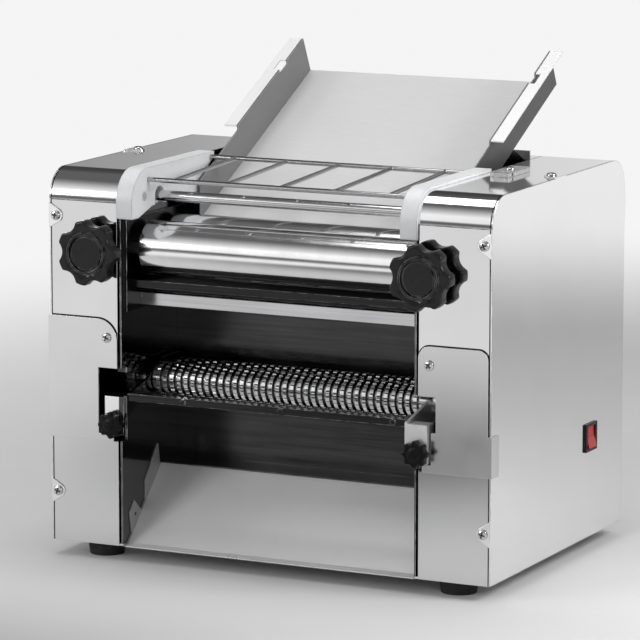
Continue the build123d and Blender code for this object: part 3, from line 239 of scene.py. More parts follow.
def make_cover_shadow_group():
    """A painted shadow: the dark line round a cover plate with round top corners, where the plate
    stands off its panel and shades it.
    """
    tree, start, end = shader_group(
        "Cover shadow line",
        [(label, "NodeSocketFloat", length * MM) for label, length in (
            ("Inner X", 150.5), ("Outer X", 217.5), ("Top Z", 224.0), ("Low Z", 111.0),
            ("Inner Radius", 11.0), ("Outer Radius", 9.0), ("Width", 1.3))],
        [("Line", "NodeSocketFloat")],
    )
    split = add_node(tree, "ShaderNodeSeparateXYZ", (-800, 200))
    tree.links.new(object_coords(tree), split.inputs[0])
    across = worked_value(tree, "ABSOLUTE", (-650, 200), split.outputs["X"])
    up = split.outputs["Z"]
    given = start.outputs
    inner = corner_distance(tree, across, up, given["Inner X"], given["Top Z"],
                            given["Inner Radius"], False, 300)
    outer = corner_distance(tree, across, up, given["Outer X"], given["Top Z"],
                            given["Outer Radius"], True, -100)
    outside = worked_value(tree, "MAXIMUM", (450, 100), inner, outer)
    near = worked_value(tree, "LESS_THAN", (600, 100), outside, given["Width"])
    above = worked_value(tree, "GREATER_THAN", (600, -100), up, given["Low Z"])
    tree.links.new(worked_value(tree, "MULTIPLY", (750, 0), near, above), end.inputs["Line"])
    return tree


def make_crevice_shade_group():
    """A mask for painted shade, strong in narrow grooves where little light comes in."""
    tree, start, end = shader_group(
        "Crevice shade",
        [("Reach", "NodeSocketFloat", 0.004)],
        [("Deep", "NodeSocketFloat")],
    )
    open_sky = add_node(tree, "ShaderNodeAmbientOcclusion", (-300, 0), samples=6)
    join(tree,
         (start.outputs["Reach"], open_sky.inputs["Distance"]),
         (rising(tree, open_sky.outputs["AO"], *OPEN_SKY, (200, 0)), end.inputs["Deep"]))
    return tree


GRAIN = make_grain_group()
SMUDGE = make_smudge_group()
EDGE = make_edge_group()
ZONE = make_zone_group()
COVER_SHADOW = make_cover_shadow_group()
CREVICE_SHADE = make_crevice_shade_group()


# ---------------------------------------------------------------- finishes
COAT_ROUGHNESS = 0.08
GRAIN_SHARE = 0.4


def grey(tone, blue=None):
    """An even grey, or one with a blue of its own, as on steel."""
    return (tone, tone, tone if blue is None else blue)


def beyond(low, high, tone, direction=ACROSS):
    """A zone: the tone taken past low to high mm from the middle along a direction."""
    return direction, low * MM, high * MM, tone


def varied(tree, mask, low, high, place):
    """A value that runs from low to high with a mask."""
    node = add_node(tree, "ShaderNodeMapRange", place)
    node.inputs["To Min"].default_value = low
    node.inputs["To Max"].default_value = high
    tree.links.new(mask, node.inputs["Value"])
    return node.outputs["Result"]


def blended(tree, mask, low, high, place):
    """A colour that runs from low to high with a mask; either may be a socket."""
    node = add_node(tree, "ShaderNodeMix", place, data_type="RGBA")
    for socket, value in ((node.inputs["A"], low), (node.inputs["B"], high)):
        if isinstance(value, bpy.types.NodeSocket):
            tree.links.new(value, socket)
        else:
            socket.default_value = (*value, 1.0)
    tree.links.new(mask, node.inputs["Factor"])
    return node.outputs["Result"]


def finish_material(name, dark, light, edge_wear_and_painted_light, rough, grain, bump, metallic=0.0, depth=0.0002,
                    radius=0.0006, specular=0.5, coat=0.0, zones=(), cover_shadow=None, crevice_shade=0.0):
    """A finish: colour runs dark to light with the grain, edges go to the worn colour, which stands
    for rubbed wear and also paints edge highlights where it is light and edge shade lines where it
    is dark.
    rough holds the lowest and highest roughness; depth of the grain, radius of the edges and
    crevice are in metres.
    Each zone is one that beyond gives, cover_shadow holds the sizes of the painted shadow line
    round a cover plate, and crevice is the width of the grooves that are painted dark as shade."""
    material = bpy.data.materials.new(name)
    material.use_nodes = True
    tree = material.node_tree
    shader = tree.nodes["Principled BSDF"]
    shader.inputs["Metallic"].default_value = metallic
    shader.inputs["Specular IOR Level"].default_value = specular
    shader.inputs["Coat Weight"].default_value = coat
    shader.inputs["Coat Roughness"].default_value = COAT_ROUGHNESS
    lines = use_group(tree, GRAIN, (-1200, 200), Stretch=grain)
    patches = use_group(tree, SMUDGE, (-1200, -100))
    edge = use_group(tree, EDGE, (-1200, -400), Radius=radius)
    surface = blended(tree, lines.outputs["Lines"], dark, light, (-800, 300))
    for direction, low, high, tone in zones:
        zone = use_group(tree, ZONE, (-1200, 500), Direction=direction, Low=low, High=high)
        surface = blended(tree, zone.outputs["Inside"], surface, tone, (-800, 500))
    # The dark line round the cover is the painted shadow of the cover's edge.
    if cover_shadow:
        shadow_line = use_group(tree, COVER_SHADOW, (-1200, 800), **cover_shadow)
        surface = blended(tree, shadow_line.outputs["Line"], surface, SEAM_AND_SHADOW_TONE, (-800, 800))
    # Edges take the edge colour: rubbed wear together with painted edge highlights and painted edge
    # shade lines.
    colour = blended(tree, edge.outputs["Worn And Painted Edge Light"], surface, edge_wear_and_painted_light, (-500, 300))
    # Narrow grooves are painted near black as shade.
    if crevice_shade:
        groove_shade = use_group(tree, CREVICE_SHADE, (-800, 600), Reach=crevice_shade)
        colour = blended(tree, groove_shade.outputs["Deep"], colour, GROOVE_SHADE_TONE, (-200, 300))
    tree.links.new(colour, shader.inputs["Base Color"])
    both = add_node(tree, "ShaderNodeMath", (-900, 0), operation="MULTIPLY_ADD")
    both.inputs[1].default_value = GRAIN_SHARE
    tree.links.new(lines.outputs["Lines"], both.inputs[0])
    tree.links.new(patches.outputs["Patches"], both.inputs[2])
    tree.links.new(varied(tree, both.outputs[0], rough[0], rough[1], (-500, 0)),
                   shader.inputs["Roughness"])
    relief = add_node(tree, "ShaderNodeBump", (-500, -300))
    relief.inputs["Strength"].default_value = bump
    relief.inputs["Distance"].default_value = depth
    tree.links.new(lines.outputs["Height"], relief.inputs["Height"])
    tree.links.new(edge.outputs["Rounded"], relief.inputs["Normal"])
    tree.links.new(relief.outputs["Normal"], shader.inputs["Normal"])
    return material


ALONG_X = (8.0, 700.0, 700.0)
UP_Z = (700.0, 700.0, 8.0)
EVEN = (260.0, 260.0, 260.0)
CLOUDY = (14.0, 14.0, 14.0)
# Dark tone of the seams between sheets, and of the painted shadow line round the lower covers.
SEAM_AND_SHADOW_TONE = grey(0.03)
# Near black painted into narrow grooves as shade.
GROOVE_SHADE_TONE = grey(0.01)
SIDE_SEAM = beyond(217.5, 217.7, SEAM_AND_SHADOW_TONE)
TOP_SEAM = beyond(330.2, 330.4, SEAM_AND_SHADOW_TONE, UPWARDS)
# Painted light on the tray: its walls are painted darker as shade, the outer faces of its walls
# darker still as a dark reflection, and its rims bright as a highlight.
TRAY_WALL_SHADE = beyond(128.4, 128.7, grey(0.26, 0.265))
TRAY_OUTSIDE_SHADE = beyond(129.5, 129.8, grey(0.10, 0.102))
TRAY_RIM_HIGHLIGHT = beyond(130.4, 130.7, grey(0.96))
TIE_ENDS = beyond(143.0, 143.4, grey(0.05))
CHUTE_ENDS = beyond(144.6, 145.0, grey(0.42, 0.43))
# The left cutter plate's outer end is painted bright as a highlight.
BRACKET_END_HIGHLIGHT = beyond(146.4, 146.8, grey(0.92, 0.93))

# The fourth colour of each finish goes on its edges: rubbed wear, and also painted highlights where
# it is light and painted shade lines where it is dark.
# The side casing and the front panels are one polished steel: the side's copy is painted brighter
# as the lit side.
casing_steel = finish_material(
    "casing_steel", grey(0.87, 0.88), grey(0.90, 0.91), grey(0.14), (0.05, 0.09),
    grain=CLOUDY, metallic=1.0, bump=0.004, depth=0.0006, radius=0.0009)
# Sizes of the painted shadow line round each lower cover.
PANEL_COVER_SHADOWS = {
    "left": {"Outer_X": 260.0 * MM, "Inner_Radius": 20.0 * MM},
    "right": {"Outer_X": 217.5 * MM, "Inner_Radius": 11.0 * MM},
}
# The front panels' copy of the casing steel is painted darker as the shaded front.
panel_shaded_steel = {
    side: finish_material(
        f"panel_shaded_steel_{side}", grey(0.70, 0.71), grey(0.74, 0.75), grey(0.9, 0.91),
        (0.03, 0.06), grain=CLOUDY, metallic=1.0, bump=0.003, depth=0.0006,
        zones=(SIDE_SEAM, TOP_SEAM), cover_shadow=shadow_line)
    for side, shadow_line in PANEL_COVER_SHADOWS.items()
}
wrap_steel = finish_material(
    "wrap_steel", grey(0.84, 0.85), grey(0.88, 0.89), grey(0.9, 0.91), (0.05, 0.09),
    grain=CLOUDY, metallic=1.0, bump=0.004, zones=(SIDE_SEAM,))
cover_steel = finish_material(
    "cover_steel", grey(0.68, 0.69), grey(0.72, 0.73), grey(0.9), (0.12, 0.18),
    grain=CLOUDY, metallic=1.0, bump=0.006)
block_steel = finish_material(
    "block_steel", grey(0.46), grey(0.54), grey(0.06), (0.24, 0.34),
    grain=EVEN, metallic=0.4, bump=0.03, radius=0.0012)
# The throat's liner and bulkhead are polished steel painted near black as the shade inside the
# throat.
liner_steel = finish_material(
    "liner_steel", grey(0.13, 0.135), grey(0.17, 0.175), grey(0.8, 0.82), (0.05, 0.1),
    grain=CLOUDY, metallic=1.0, bump=0.004)
bulkhead_shaded_steel = finish_material(
    "bulkhead_shaded_steel", grey(0.05, 0.052), grey(0.08, 0.083), grey(0.5), (0.12, 0.25),
    grain=(12.0, 400.0, 400.0), metallic=1.0, bump=0.02)
roller_chrome = finish_material(
    "roller_chrome", grey(0.86, 0.87), grey(0.90, 0.91), grey(0.9), (0.08, 0.13),
    grain=(90.0, 12.0, 12.0), metallic=1.0, bump=0.004)
cutter_chrome = finish_material(
    "cutter_chrome", grey(0.58, 0.59), grey(0.74, 0.75), grey(0.95), (0.06, 0.12),
    grain=(900.0, 60.0, 60.0), metallic=1.0, bump=0.02, radius=0.0002, crevice_shade=0.005)
gear_steel = finish_material(
    "gear_steel", grey(0.32, 0.33), grey(0.46, 0.47), grey(0.7), (0.28, 0.45),
    grain=(60.0, 500.0, 500.0), metallic=1.0, bump=0.1)
shaft_steel = finish_material(
    "shaft_steel", grey(0.50, 0.51), grey(0.62, 0.63), grey(0.8), (0.15, 0.3),
    grain=(900.0, 40.0, 40.0), metallic=1.0, bump=0.05)
plate_steel = finish_material(
    "plate_steel", grey(0.05, 0.052), grey(0.08, 0.083), grey(0.7), (0.12, 0.22),
    grain=UP_Z, metallic=1.0, bump=0.02)
tie_steel = finish_material(
    "tie_steel", grey(0.50, 0.51), grey(0.60, 0.61), grey(0.9), (0.1, 0.2),
    grain=ALONG_X, metallic=1.0, bump=0.01, zones=(TIE_ENDS,))
tray_steel = finish_material(
    "tray_steel", grey(0.72), grey(0.75), grey(0.80), (0.44, 0.52),
    grain=(60.0, 600.0, 600.0), metallic=0.25, bump=0.01, specular=0.3,
    zones=(TRAY_WALL_SHADE, TRAY_OUTSIDE_SHADE, TRAY_RIM_HIGHLIGHT))
chute_steel = finish_material(
    "chute_steel", grey(0.84, 0.85), grey(0.88, 0.89), grey(0.93), (0.26, 0.34),
    grain=CLOUDY, metallic=0.35, bump=0.006, zones=(CHUTE_ENDS,))
# The two cutter plates are one steel: the right one is painted bright where its face mirrors light,
# the left one painted near black as shade.
bracket_lit_steel = finish_material(
    "bracket_lit_steel", grey(0.82, 0.83), grey(0.88, 0.89), grey(0.2), (0.14, 0.22),
    grain=EVEN, metallic=0.5, bump=0.02)
left_bracket_shaded_steel = finish_material(
    "left_bracket_shaded_steel", grey(0.06, 0.062), grey(0.10, 0.103), grey(0.6), (0.1, 0.18),
    grain=EVEN, metallic=1.0, bump=0.02, zones=(BRACKET_END_HIGHLIGHT,))
scraper_steel = finish_material(
    "scraper_steel", grey(0.02, 0.021), grey(0.04, 0.041), grey(0.75), (0.1, 0.2),
    grain=ALONG_X, metallic=1.0, bump=0.01, radius=0.0005)
# The grille's steel is painted darker than the guard rod's, as the dark that its bars mirror.
grille_shaded_steel = finish_material(
    "grille_shaded_steel", grey(0.42, 0.43), grey(0.50, 0.51), grey(0.9), (0.05, 0.1),
    grain=EVEN, metallic=1.0, bump=0.006)
bright_rod = finish_material(
    "bright_rod", grey(0.60, 0.61), grey(0.70, 0.71), grey(0.9), (0.06, 0.12),
    grain=ALONG_X, metallic=1.0, bump=0.01)
dark_bar = finish_material(
    "dark_bar", grey(0.03, 0.031), grey(0.05, 0.052), grey(0.9), (0.1, 0.18),
    grain=ALONG_X, metallic=1.0, bump=0.01)
screw_steel = finish_material(
    "screw_steel", grey(0.56), grey(0.68), grey(0.03), (0.08, 0.16),
    grain=EVEN, metallic=1.0, bump=0.03, crevice_shade=0.003)
black_plastic = finish_material(
    "black_plastic", grey(0.003, 0.0032), grey(0.005, 0.0055), grey(0.02),
    (0.14, 0.24), grain=EVEN, bump=0.05, radius=0.0012, specular=0.16)
knob_plastic = finish_material(
    "knob_plastic", grey(0.008, 0.0085), grey(0.013, 0.0135), grey(0.60),
    (0.16, 0.26), grain=EVEN, bump=0.05, radius=0.0007, specular=0.3)
cap_plastic = finish_material(
    "cap_plastic", (0.83, 0.84, 0.85), (0.87, 0.88, 0.89), grey(0.62, 0.63), (0.28, 0.4),
    grain=EVEN, bump=0.03, radius=0.0018)
red_plastic = finish_material(
    "red_plastic", (0.34, 0.003, 0.005), (0.44, 0.005, 0.008), (0.6, 0.04, 0.05), (0.12, 0.22),
    grain=EVEN, bump=0.04, specular=0.3, coat=0.08)
foot_rubber = finish_material(
    "foot_rubber", grey(0.012), grey(0.03), grey(0.06), (0.6, 0.8),
    grain=EVEN, bump=0.3, radius=0.001, specular=0.3)
belt_rubber = finish_material(
    "belt_rubber", grey(0.012), grey(0.028), grey(0.05), (0.5, 0.7),
    grain=EVEN, bump=0.3, specular=0.3)
motor_iron = finish_material(
    "motor_iron", (0.05, 0.055, 0.06), (0.09, 0.095, 0.10), grey(0.3), (0.35, 0.5),
    grain=EVEN, bump=0.3)

FINISHES = {
    "wrap_cover": wrap_steel, "side_cover": casing_steel,
    "front_panel_left": panel_shaded_steel["left"], "front_panel_right": panel_shaded_steel["right"],
    "rear_panel": casing_steel, "rear_deck": casing_steel, "base_plate": casing_steel,
    "interlock_block": block_steel, "lower_cover": cover_steel, "liner": liner_steel,
    "front_roller_gear": gear_steel, "rear_roller_gear": gear_steel,
    "roller_drive_gear": gear_steel, "link_gear": gear_steel, "idler_gear": gear_steel,
    "cutter_drive_gear": gear_steel, "front_cutter_gear": gear_steel,
    "rear_cutter_gear": gear_steel, "front_roller": roller_chrome,
    "rear_roller": roller_chrome, "front_cutter": cutter_chrome, "rear_cutter": cutter_chrome,
    "layshaft": shaft_steel, "motor_shaft": shaft_steel, "idler_studs": shaft_steel,
    "adjusting_screw": shaft_steel, "cutter_bars": dark_bar, "driven_pulley": gear_steel,
    "side_plate": plate_steel, "cutter_plate": bracket_lit_steel, "bearing_block": plate_steel,
    "scrapers": scraper_steel, "cutter_plate_left": left_bracket_shaded_steel,
    "scraper_frame": tie_steel, "bulkhead": bulkhead_shaded_steel, "hopper_tray": tray_steel,
    "noodle_chute": chute_steel, "thickness_knob": black_plastic, "clamp_knob": black_plastic,
    "switch_bezel": black_plastic, "power_inlet": black_plastic, "cap_": cap_plastic,
    "power_rocker": red_plastic, "feet": foot_rubber, "drive_belt": belt_rubber,
    "motor_housing": motor_iron, "cover_screws": screw_steel, "guard_grille": grille_shaded_steel,
    "guard_rod": bright_rod, "cross_rods": scraper_steel,
}


def finish_of(node_name):
    """The finish for a node: the longest name that its own starts with."""
    found = [key for key in FINISHES if node_name.startswith(key)]
    return FINISHES[max(found, key=len)]


for node_name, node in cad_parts.items():
    for material_slot in node.material_slots:
        material_slot.material = finish_of(node_name)


# ---------------------------------------------------------------- piece helpers
def new_piece(name, mesh, material, body, *nodes):
    """A piece given its finish, the body that it rides on and the nodes that it replaces."""
    piece = bpy.data.objects.new(name, mesh)
    bpy.context.collection.objects.link(piece)
    mesh.materials.clear()
    mesh.materials.append(material)
    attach(piece, body)
    if nodes:
        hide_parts(*nodes)


def closed_rings(name, rings, smooth_below=40):
    """A closed mesh through rings of equal length, the first and last filled by fans."""
    work = bmesh.new()
    loops = [[work.verts.new(point) for point in ring] for ring in rings]
    count = len(loops[0])
    for inner, outer in zip(loops, loops[1:]):
        for step in range(count):
            after = (step + 1) % count
            work.faces.new((inner[step], inner[after], outer[after], outer[step]))
    for loop in (loops[0], loops[-1]):
        middle = work.verts.new(sum((vert.co for vert in loop), Vector()) / count)
        for step in range(count):
            work.faces.new((loop[step], loop[(step + 1) % count], middle))
    bmesh.ops.recalc_face_normals(work, faces=work.faces)
    for face in work.faces:
        face.smooth = True
    for edge in work.edges:
        edge.smooth = edge.calc_face_angle(0.0) < radians(smooth_below)
    mesh = bpy.data.meshes.new(name)
    work.to_mesh(mesh)
    work.free()
    return mesh


def centre_of(node_name):
    """The middle of a node's box, and its lowest and highest corners."""
    low, high = (Vector(corner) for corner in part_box(node_name))
    return (low + high) / 2, low, high


# ---------------------------------------------------------------- geometry node helpers
SHARP_ANGLE = radians(28)


def geometry_tree(name, inputs):
    """An empty geometry tree. inputs are (name, socket kind, default)."""
    tree = bpy.data.node_groups.new(name, "GeometryNodeTree")
    tree.interface.new_socket("Geometry", in_out="INPUT", socket_type="NodeSocketGeometry")
    for label, kind, default in inputs:
        socket = tree.interface.new_socket(label, in_out="INPUT", socket_type=kind)
        if default is not None:
            socket.default_value = default
    tree.interface.new_socket("Geometry", in_out="OUTPUT", socket_type="NodeSocketGeometry")
    start = add_node(tree, "NodeGroupInput", (-1600, 0))
    end = add_node(tree, "NodeGroupOutput", (1400, 0))
    return tree, start, end


def finished_geometry(tree, geometry, start, end):
    """Real faces, shaded smooth where they meet softly, in the finish that is handed in."""
    real = add_node(tree, "GeometryNodeRealizeInstances", (600, 0))
    faces = add_node(tree, "GeometryNodeSetShadeSmooth", (800, 0), domain="FACE")
    angle = add_node(tree, "GeometryNodeInputMeshEdgeAngle", (600, -300))
    sharp = worked_value(tree, "GREATER_THAN", (800, -300), angle.outputs["Unsigned Angle"],
                         SHARP_ANGLE)
    edges = add_node(tree, "GeometryNodeSetShadeSmooth", (1000, 0), domain="EDGE")
    edges.inputs["Shade Smooth"].default_value = False
    paint = add_node(tree, "GeometryNodeSetMaterial", (1200, 0))
    join(tree,
         (geometry, real.inputs[0]), (real.outputs[0], faces.inputs["Geometry"]),
         (faces.outputs[0], edges.inputs["Geometry"]), (sharp, edges.inputs["Selection"]),
         (edges.outputs[0], paint.inputs["Geometry"]),
         (start.outputs["Finish"], paint.inputs["Material"]), (paint.outputs[0], end.inputs[0]))


def grown_mesh(name, tree, seed_mesh, values):
    """The plain mesh that a geometry tree makes from a seed mesh and named values."""
    holder = bpy.data.objects.new(name, seed_mesh)
    bpy.context.collection.objects.link(holder)
    modifier = holder.modifiers.new(name, "NODES")
    modifier.node_group = tree
    identifiers = {item.name: item.identifier for item in tree.interface.items_tree
                   if item.in_out == "INPUT"}
    for label, value in values.items():
        modifier[identifiers[label]] = value
    graph = bpy.context.evaluated_depsgraph_get()
    mesh = bpy.data.meshes.new_from_object(holder.evaluated_get(graph))
    bpy.data.objects.remove(holder)
    mesh.name = name
    return mesh


# ---------------------------------------------------------------- screws
DOME_POWER = 0.55
UNDERSIDE_PRESS = 0.15
SHEET_T = 1.2 * MM
EAR_SCREW_IN = 7.0 * MM
EAR_SCREW_HEIGHTS = (302.0 * MM, 46.5 * MM)
COVER_SCREW_X = 161.0 * MM
COVER_SCREW_HEIGHT = 193.0 * MM
TOP_SCREW_IN = 9.5 * MM
TOP_SCREW_BACK = 152.5 * MM


def make_screw_tree():
    """A pan head with a cross recess on every point, turned at random round its own axis."""
    tree, start, end = geometry_tree("Pan head screws", [
        ("Radius", "NodeSocketFloat", 4.7 * MM),
        ("Height", "NodeSocketFloat", 2.5 * MM),
        ("Slot Length", "NodeSocketFloat", 5.8 * MM),
        ("Slot Width", "NodeSocketFloat", 1.35 * MM),
        ("Seed", "NodeSocketInt", 3),
        ("Finish", "NodeSocketMaterial", None),
    ])
    ball = add_node(tree, "GeometryNodeMeshUVSphere", (-1400, 400))
    ball.inputs["Segments"].default_value = 36
    ball.inputs["Rings"].default_value = 20
    ball.inputs["Radius"].default_value = 1.0
    place = add_node(tree, "GeometryNodeInputPosition", (-1400, 100))
    split = add_node(tree, "ShaderNodeSeparateXYZ", (-1200, 100))
    above = worked_value(tree, "MAXIMUM", (-1000, 0), split.outputs["Z"], 0.0)
    flattened = worked_value(tree, "POWER", (-800, 0), above, DOME_POWER)
    below = worked_value(tree, "MINIMUM", (-1000, -150), split.outputs["Z"], 0.0)
    pressed = worked_value(tree, "MULTIPLY", (-800, -150), below, UNDERSIDE_PRESS)
    profile = worked_value(tree, "ADD", (-700, -50), flattened, pressed)
    height = worked_value(tree, "MULTIPLY", (-600, 0), profile, start.outputs["Height"])
    across = worked_value(tree, "MULTIPLY", (-600, 200), split.outputs["X"],
                          start.outputs["Radius"])
    along = worked_value(tree, "MULTIPLY", (-600, 100), split.outputs["Y"],
                         start.outputs["Radius"])
    dome = add_node(tree, "GeometryNodeSetPosition", (-400, 400))
    join(tree,
         (place.outputs[0], split.inputs[0]), (ball.outputs["Mesh"], dome.inputs["Geometry"]),
         (vector_of(tree, (-450, 100), across, along, height), dome.inputs["Position"]))
    recess = add_node(tree, "GeometryNodeMeshBoolean", (0, 300), operation="DIFFERENCE")
    join(tree, (dome.outputs[0], recess.inputs["Mesh 1"]))
    length, width = start.outputs["Slot Length"], start.outputs["Slot Width"]
    for row, (first, second) in enumerate(((length, width), (width, length))):
        blade = add_node(tree, "GeometryNodeMeshCube", (-400, -200 - 250 * row))
        sunk = add_node(tree, "GeometryNodeTransform", (-200, -200 - 250 * row))
        join(tree,
             (vector_of(tree, (-600, -200 - 250 * row), first, second,
                        start.outputs["Height"]), blade.inputs["Size"]),
             (blade.outputs["Mesh"], sunk.inputs["Geometry"]),
             (vector_of(tree, (-400, -350 - 250 * row), 0.0, 0.0, start.outputs["Height"]),
              sunk.inputs["Translation"]),
             (sunk.outputs[0], recess.inputs["Mesh 2"]))
    facing = add_node(tree, "GeometryNodeInputNamedAttribute", (-400, -800),
                      data_type="FLOAT_VECTOR")
    facing.inputs["Name"].default_value = "facing"
    aimed = add_node(tree, "FunctionNodeAlignRotationToVector", (-200, -800), axis="Z")
    chance = add_node(tree, "FunctionNodeRandomValue", (-400, -1000), data_type="FLOAT")
    chance.inputs["Max"].default_value = pi / 2
    spun = add_node(tree, "FunctionNodeAxisAngleToRotation", (-200, -1000))
    spun.inputs["Axis"].default_value = (0.0, 0.0, 1.0)
    turned = add_node(tree, "FunctionNodeRotateRotation", (0, -800), rotation_space="LOCAL")
    heads = add_node(tree, "GeometryNodeInstanceOnPoints", (300, 0))
    join(tree,
         (start.outputs["Seed"], chance.inputs["Seed"]),
         (facing.outputs["Attribute"], aimed.inputs["Vector"]),
         (chance.outputs["Value"], spun.inputs["Angle"]),
         (aimed.outputs[0], turned.inputs["Rotation"]), (spun.outputs[0], turned.inputs[1]),
         (start.outputs["Geometry"], heads.inputs["Points"]),
         (recess.outputs["Mesh"], heads.inputs["Instance"]),
         (turned.outputs[0], heads.inputs["Rotation"]))
    finished_geometry(tree, heads.outputs[0], start, end)
    return tree


def make_cover_screws():
    """The heads that hold the side covers' ears, the lower covers and the interlock block."""
    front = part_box("side_cover_left")[0][1]
    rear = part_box("side_cover_left")[1][1]
    half_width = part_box("side_cover_right")[1][0]
    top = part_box("wrap_cover_left")[1][2]
    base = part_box("base_plate")[0][2]
    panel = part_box("liner_left")[0][1]
    cover_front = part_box("lower_cover_left")[0][1]
    seats = []
    for side in (-1, 1):
        ear_x = side * (half_width - EAR_SCREW_IN)
        for height in EAR_SCREW_HEIGHTS:
            seats.append(((ear_x, front, base + height), (0, -1, 0)))
            seats.append(((ear_x, rear, base + height), (0, 1, 0)))
        seats.append(((side * COVER_SCREW_X, cover_front, base + COVER_SCREW_HEIGHT), (0, -1, 0)))
        seats.append(((side * (half_width - TOP_SCREW_IN), panel + TOP_SCREW_BACK, top + SHEET_T),
                      UPWARDS))
    block_low, block_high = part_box("interlock_block")
    seats.append((((block_low[0] + block_high[0]) / 2, (block_low[1] + block_high[1]) / 2,
                   block_high[2]), UPWARDS))
    points = bpy.data.meshes.new("screw_seats")
    points.from_pydata([seat for seat, _ in seats], [], [])
    aim = points.attributes.new("facing", "FLOAT_VECTOR", "POINT")
    for index, (_, direction) in enumerate(seats):
        aim.data[index].vector = direction
    mesh = grown_mesh("pan_head_screws", make_screw_tree(), points, {"Finish": screw_steel})
    new_piece("pan_head_screws", mesh, screw_steel, "frame", "cover_screws")


make_cover_screws()


# ---------------------------------------------------------------- comb cutters
DISC_PITCH = 7.2 * MM
DISC_WIDTH = 3.45 * MM
DISC_COUNT = 37
DISC_TWIST = radians(6)
POINTS_PER_NICK = 6


def make_cutter_tree():
    """A row of discs with nicked rims on a core and shaft, along X."""
    tree, start, end = geometry_tree("Comb cutter", [
        ("Disc Radius", "NodeSocketFloat", 15.0 * MM),
        ("Disc Width", "NodeSocketFloat", DISC_WIDTH),
        ("Pitch", "NodeSocketFloat", DISC_PITCH),
        ("Discs", "NodeSocketInt", DISC_COUNT),
        ("First Disc", "NodeSocketFloat", -0.13),
        ("Nicks", "NodeSocketInt", 18),
        ("Nick Depth", "NodeSocketFloat", 1.0 * MM),
        ("Twist", "NodeSocketFloat", DISC_TWIST),
        ("Core Radius", "NodeSocketFloat", 12.3 * MM),
        ("Core Half", "NodeSocketFloat", 0.138),
        ("Shaft Radius", "NodeSocketFloat", 6.0 * MM),
        ("Left End", "NodeSocketFloat", -0.17),
        ("Right End", "NodeSocketFloat", 0.17),
        ("Finish", "NodeSocketMaterial", None),
    ])
    steps = worked_value(tree, "MULTIPLY", (-1400, 500), start.outputs["Nicks"],
                         POINTS_PER_NICK)
    rim = add_node(tree, "GeometryNodeCurvePrimitiveCircle", (-1200, 500))
    index = add_node(tree, "GeometryNodeInputIndex", (-1400, 300))
    in_nick = worked_value(tree, "MODULO", (-1200, 300), index.outputs[0], POINTS_PER_NICK)
    nicked = worked_value(tree, "LESS_THAN", (-1000, 300), in_nick, 0.5)
    depth = worked_value(tree, "MULTIPLY", (-800, 300), nicked, start.outputs["Nick Depth"])
    share = worked_value(tree, "DIVIDE", (-600, 300), depth, start.outputs["Disc Radius"])
    left = worked_value(tree, "SUBTRACT", (-400, 300), 1.0, share)
    place = add_node(tree, "GeometryNodeInputPosition", (-600, 100))
    moved = add_node(tree, "ShaderNodeVectorMath", (-200, 300), operation="SCALE")
    shaped = add_node(tree, "GeometryNodeSetPosition", (0, 500))
    spine = add_node(tree, "GeometryNodeCurvePrimitiveLine", (0, 800))
    disc = add_node(tree, "GeometryNodeCurveToMesh", (200, 600))
    disc.inputs["Fill Caps"].default_value = True
    row = add_node(tree, "GeometryNodeMeshLine", (0, 1000), mode="OFFSET")
    twist = worked_value(tree, "MULTIPLY", (0, 1200), index.outputs[0], start.outputs["Twist"])
    discs = add_node(tree, "GeometryNodeInstanceOnPoints", (400, 800))
    whole = add_node(tree, "GeometryNodeJoinGeometry", (500, 200))
    join(tree,
         (steps, rim.inputs["Resolution"]), (start.outputs["Disc Radius"], rim.inputs["Radius"]),
         (place.outputs[0], moved.inputs[0]), (left, moved.inputs["Scale"]),
         (rim.outputs["Curve"], shaped.inputs["Geometry"]),
         (moved.outputs[0], shaped.inputs["Position"]),
         (vector_of(tree, (-200, 800), start.outputs["Disc Width"]), spine.inputs["End"]),
         (spine.outputs["Curve"], disc.inputs["Curve"]),
         (shaped.outputs[0], disc.inputs["Profile Curve"]),
         (start.outputs["Discs"], row.inputs["Count"]),
         (vector_of(tree, (-200, 1000), start.outputs["First Disc"]),
          row.inputs["Start Location"]),
         (vector_of(tree, (-200, 1150), start.outputs["Pitch"]), row.inputs["Offset"]),
         (row.outputs["Mesh"], discs.inputs["Points"]), (disc.outputs[0], discs.inputs["Instance"]),
         (vector_of(tree, (200, 1200), twist), discs.inputs["Rotation"]),
         (discs.outputs[0], whole.inputs[0]))
    core_low = worked_value(tree, "MULTIPLY", (-1400, -300), start.outputs["Core Half"], -1.0)
    for low, high, radius, drop in (
        (core_low, start.outputs["Core Half"], start.outputs["Core Radius"], -300),
        (start.outputs["Left End"], start.outputs["Right End"], start.outputs["Shaft Radius"],
         -800),
    ):
        length = worked_value(tree, "SUBTRACT", (-1000, drop), high, low)
        total = worked_value(tree, "ADD", (-1000, drop - 150), high, low)
        middle = worked_value(tree, "MULTIPLY", (-800, drop - 150), total, 0.5)
        bar = add_node(tree, "GeometryNodeMeshCylinder", (-600, drop))
        bar.inputs["Vertices"].default_value = 48
        laid = add_node(tree, "GeometryNodeTransform", (-400, drop))
        laid.inputs["Rotation"].default_value = (0.0, pi / 2, 0.0)
        join(tree,
             (length, bar.inputs["Depth"]), (radius, bar.inputs["Radius"]),
             (bar.outputs["Mesh"], laid.inputs["Geometry"]),
             (vector_of(tree, (-600, drop - 300), middle), laid.inputs["Translation"]),
             (laid.outputs[0], whole.inputs[0]))
    finished_geometry(tree, whole.outputs[0], start, end)
    return tree


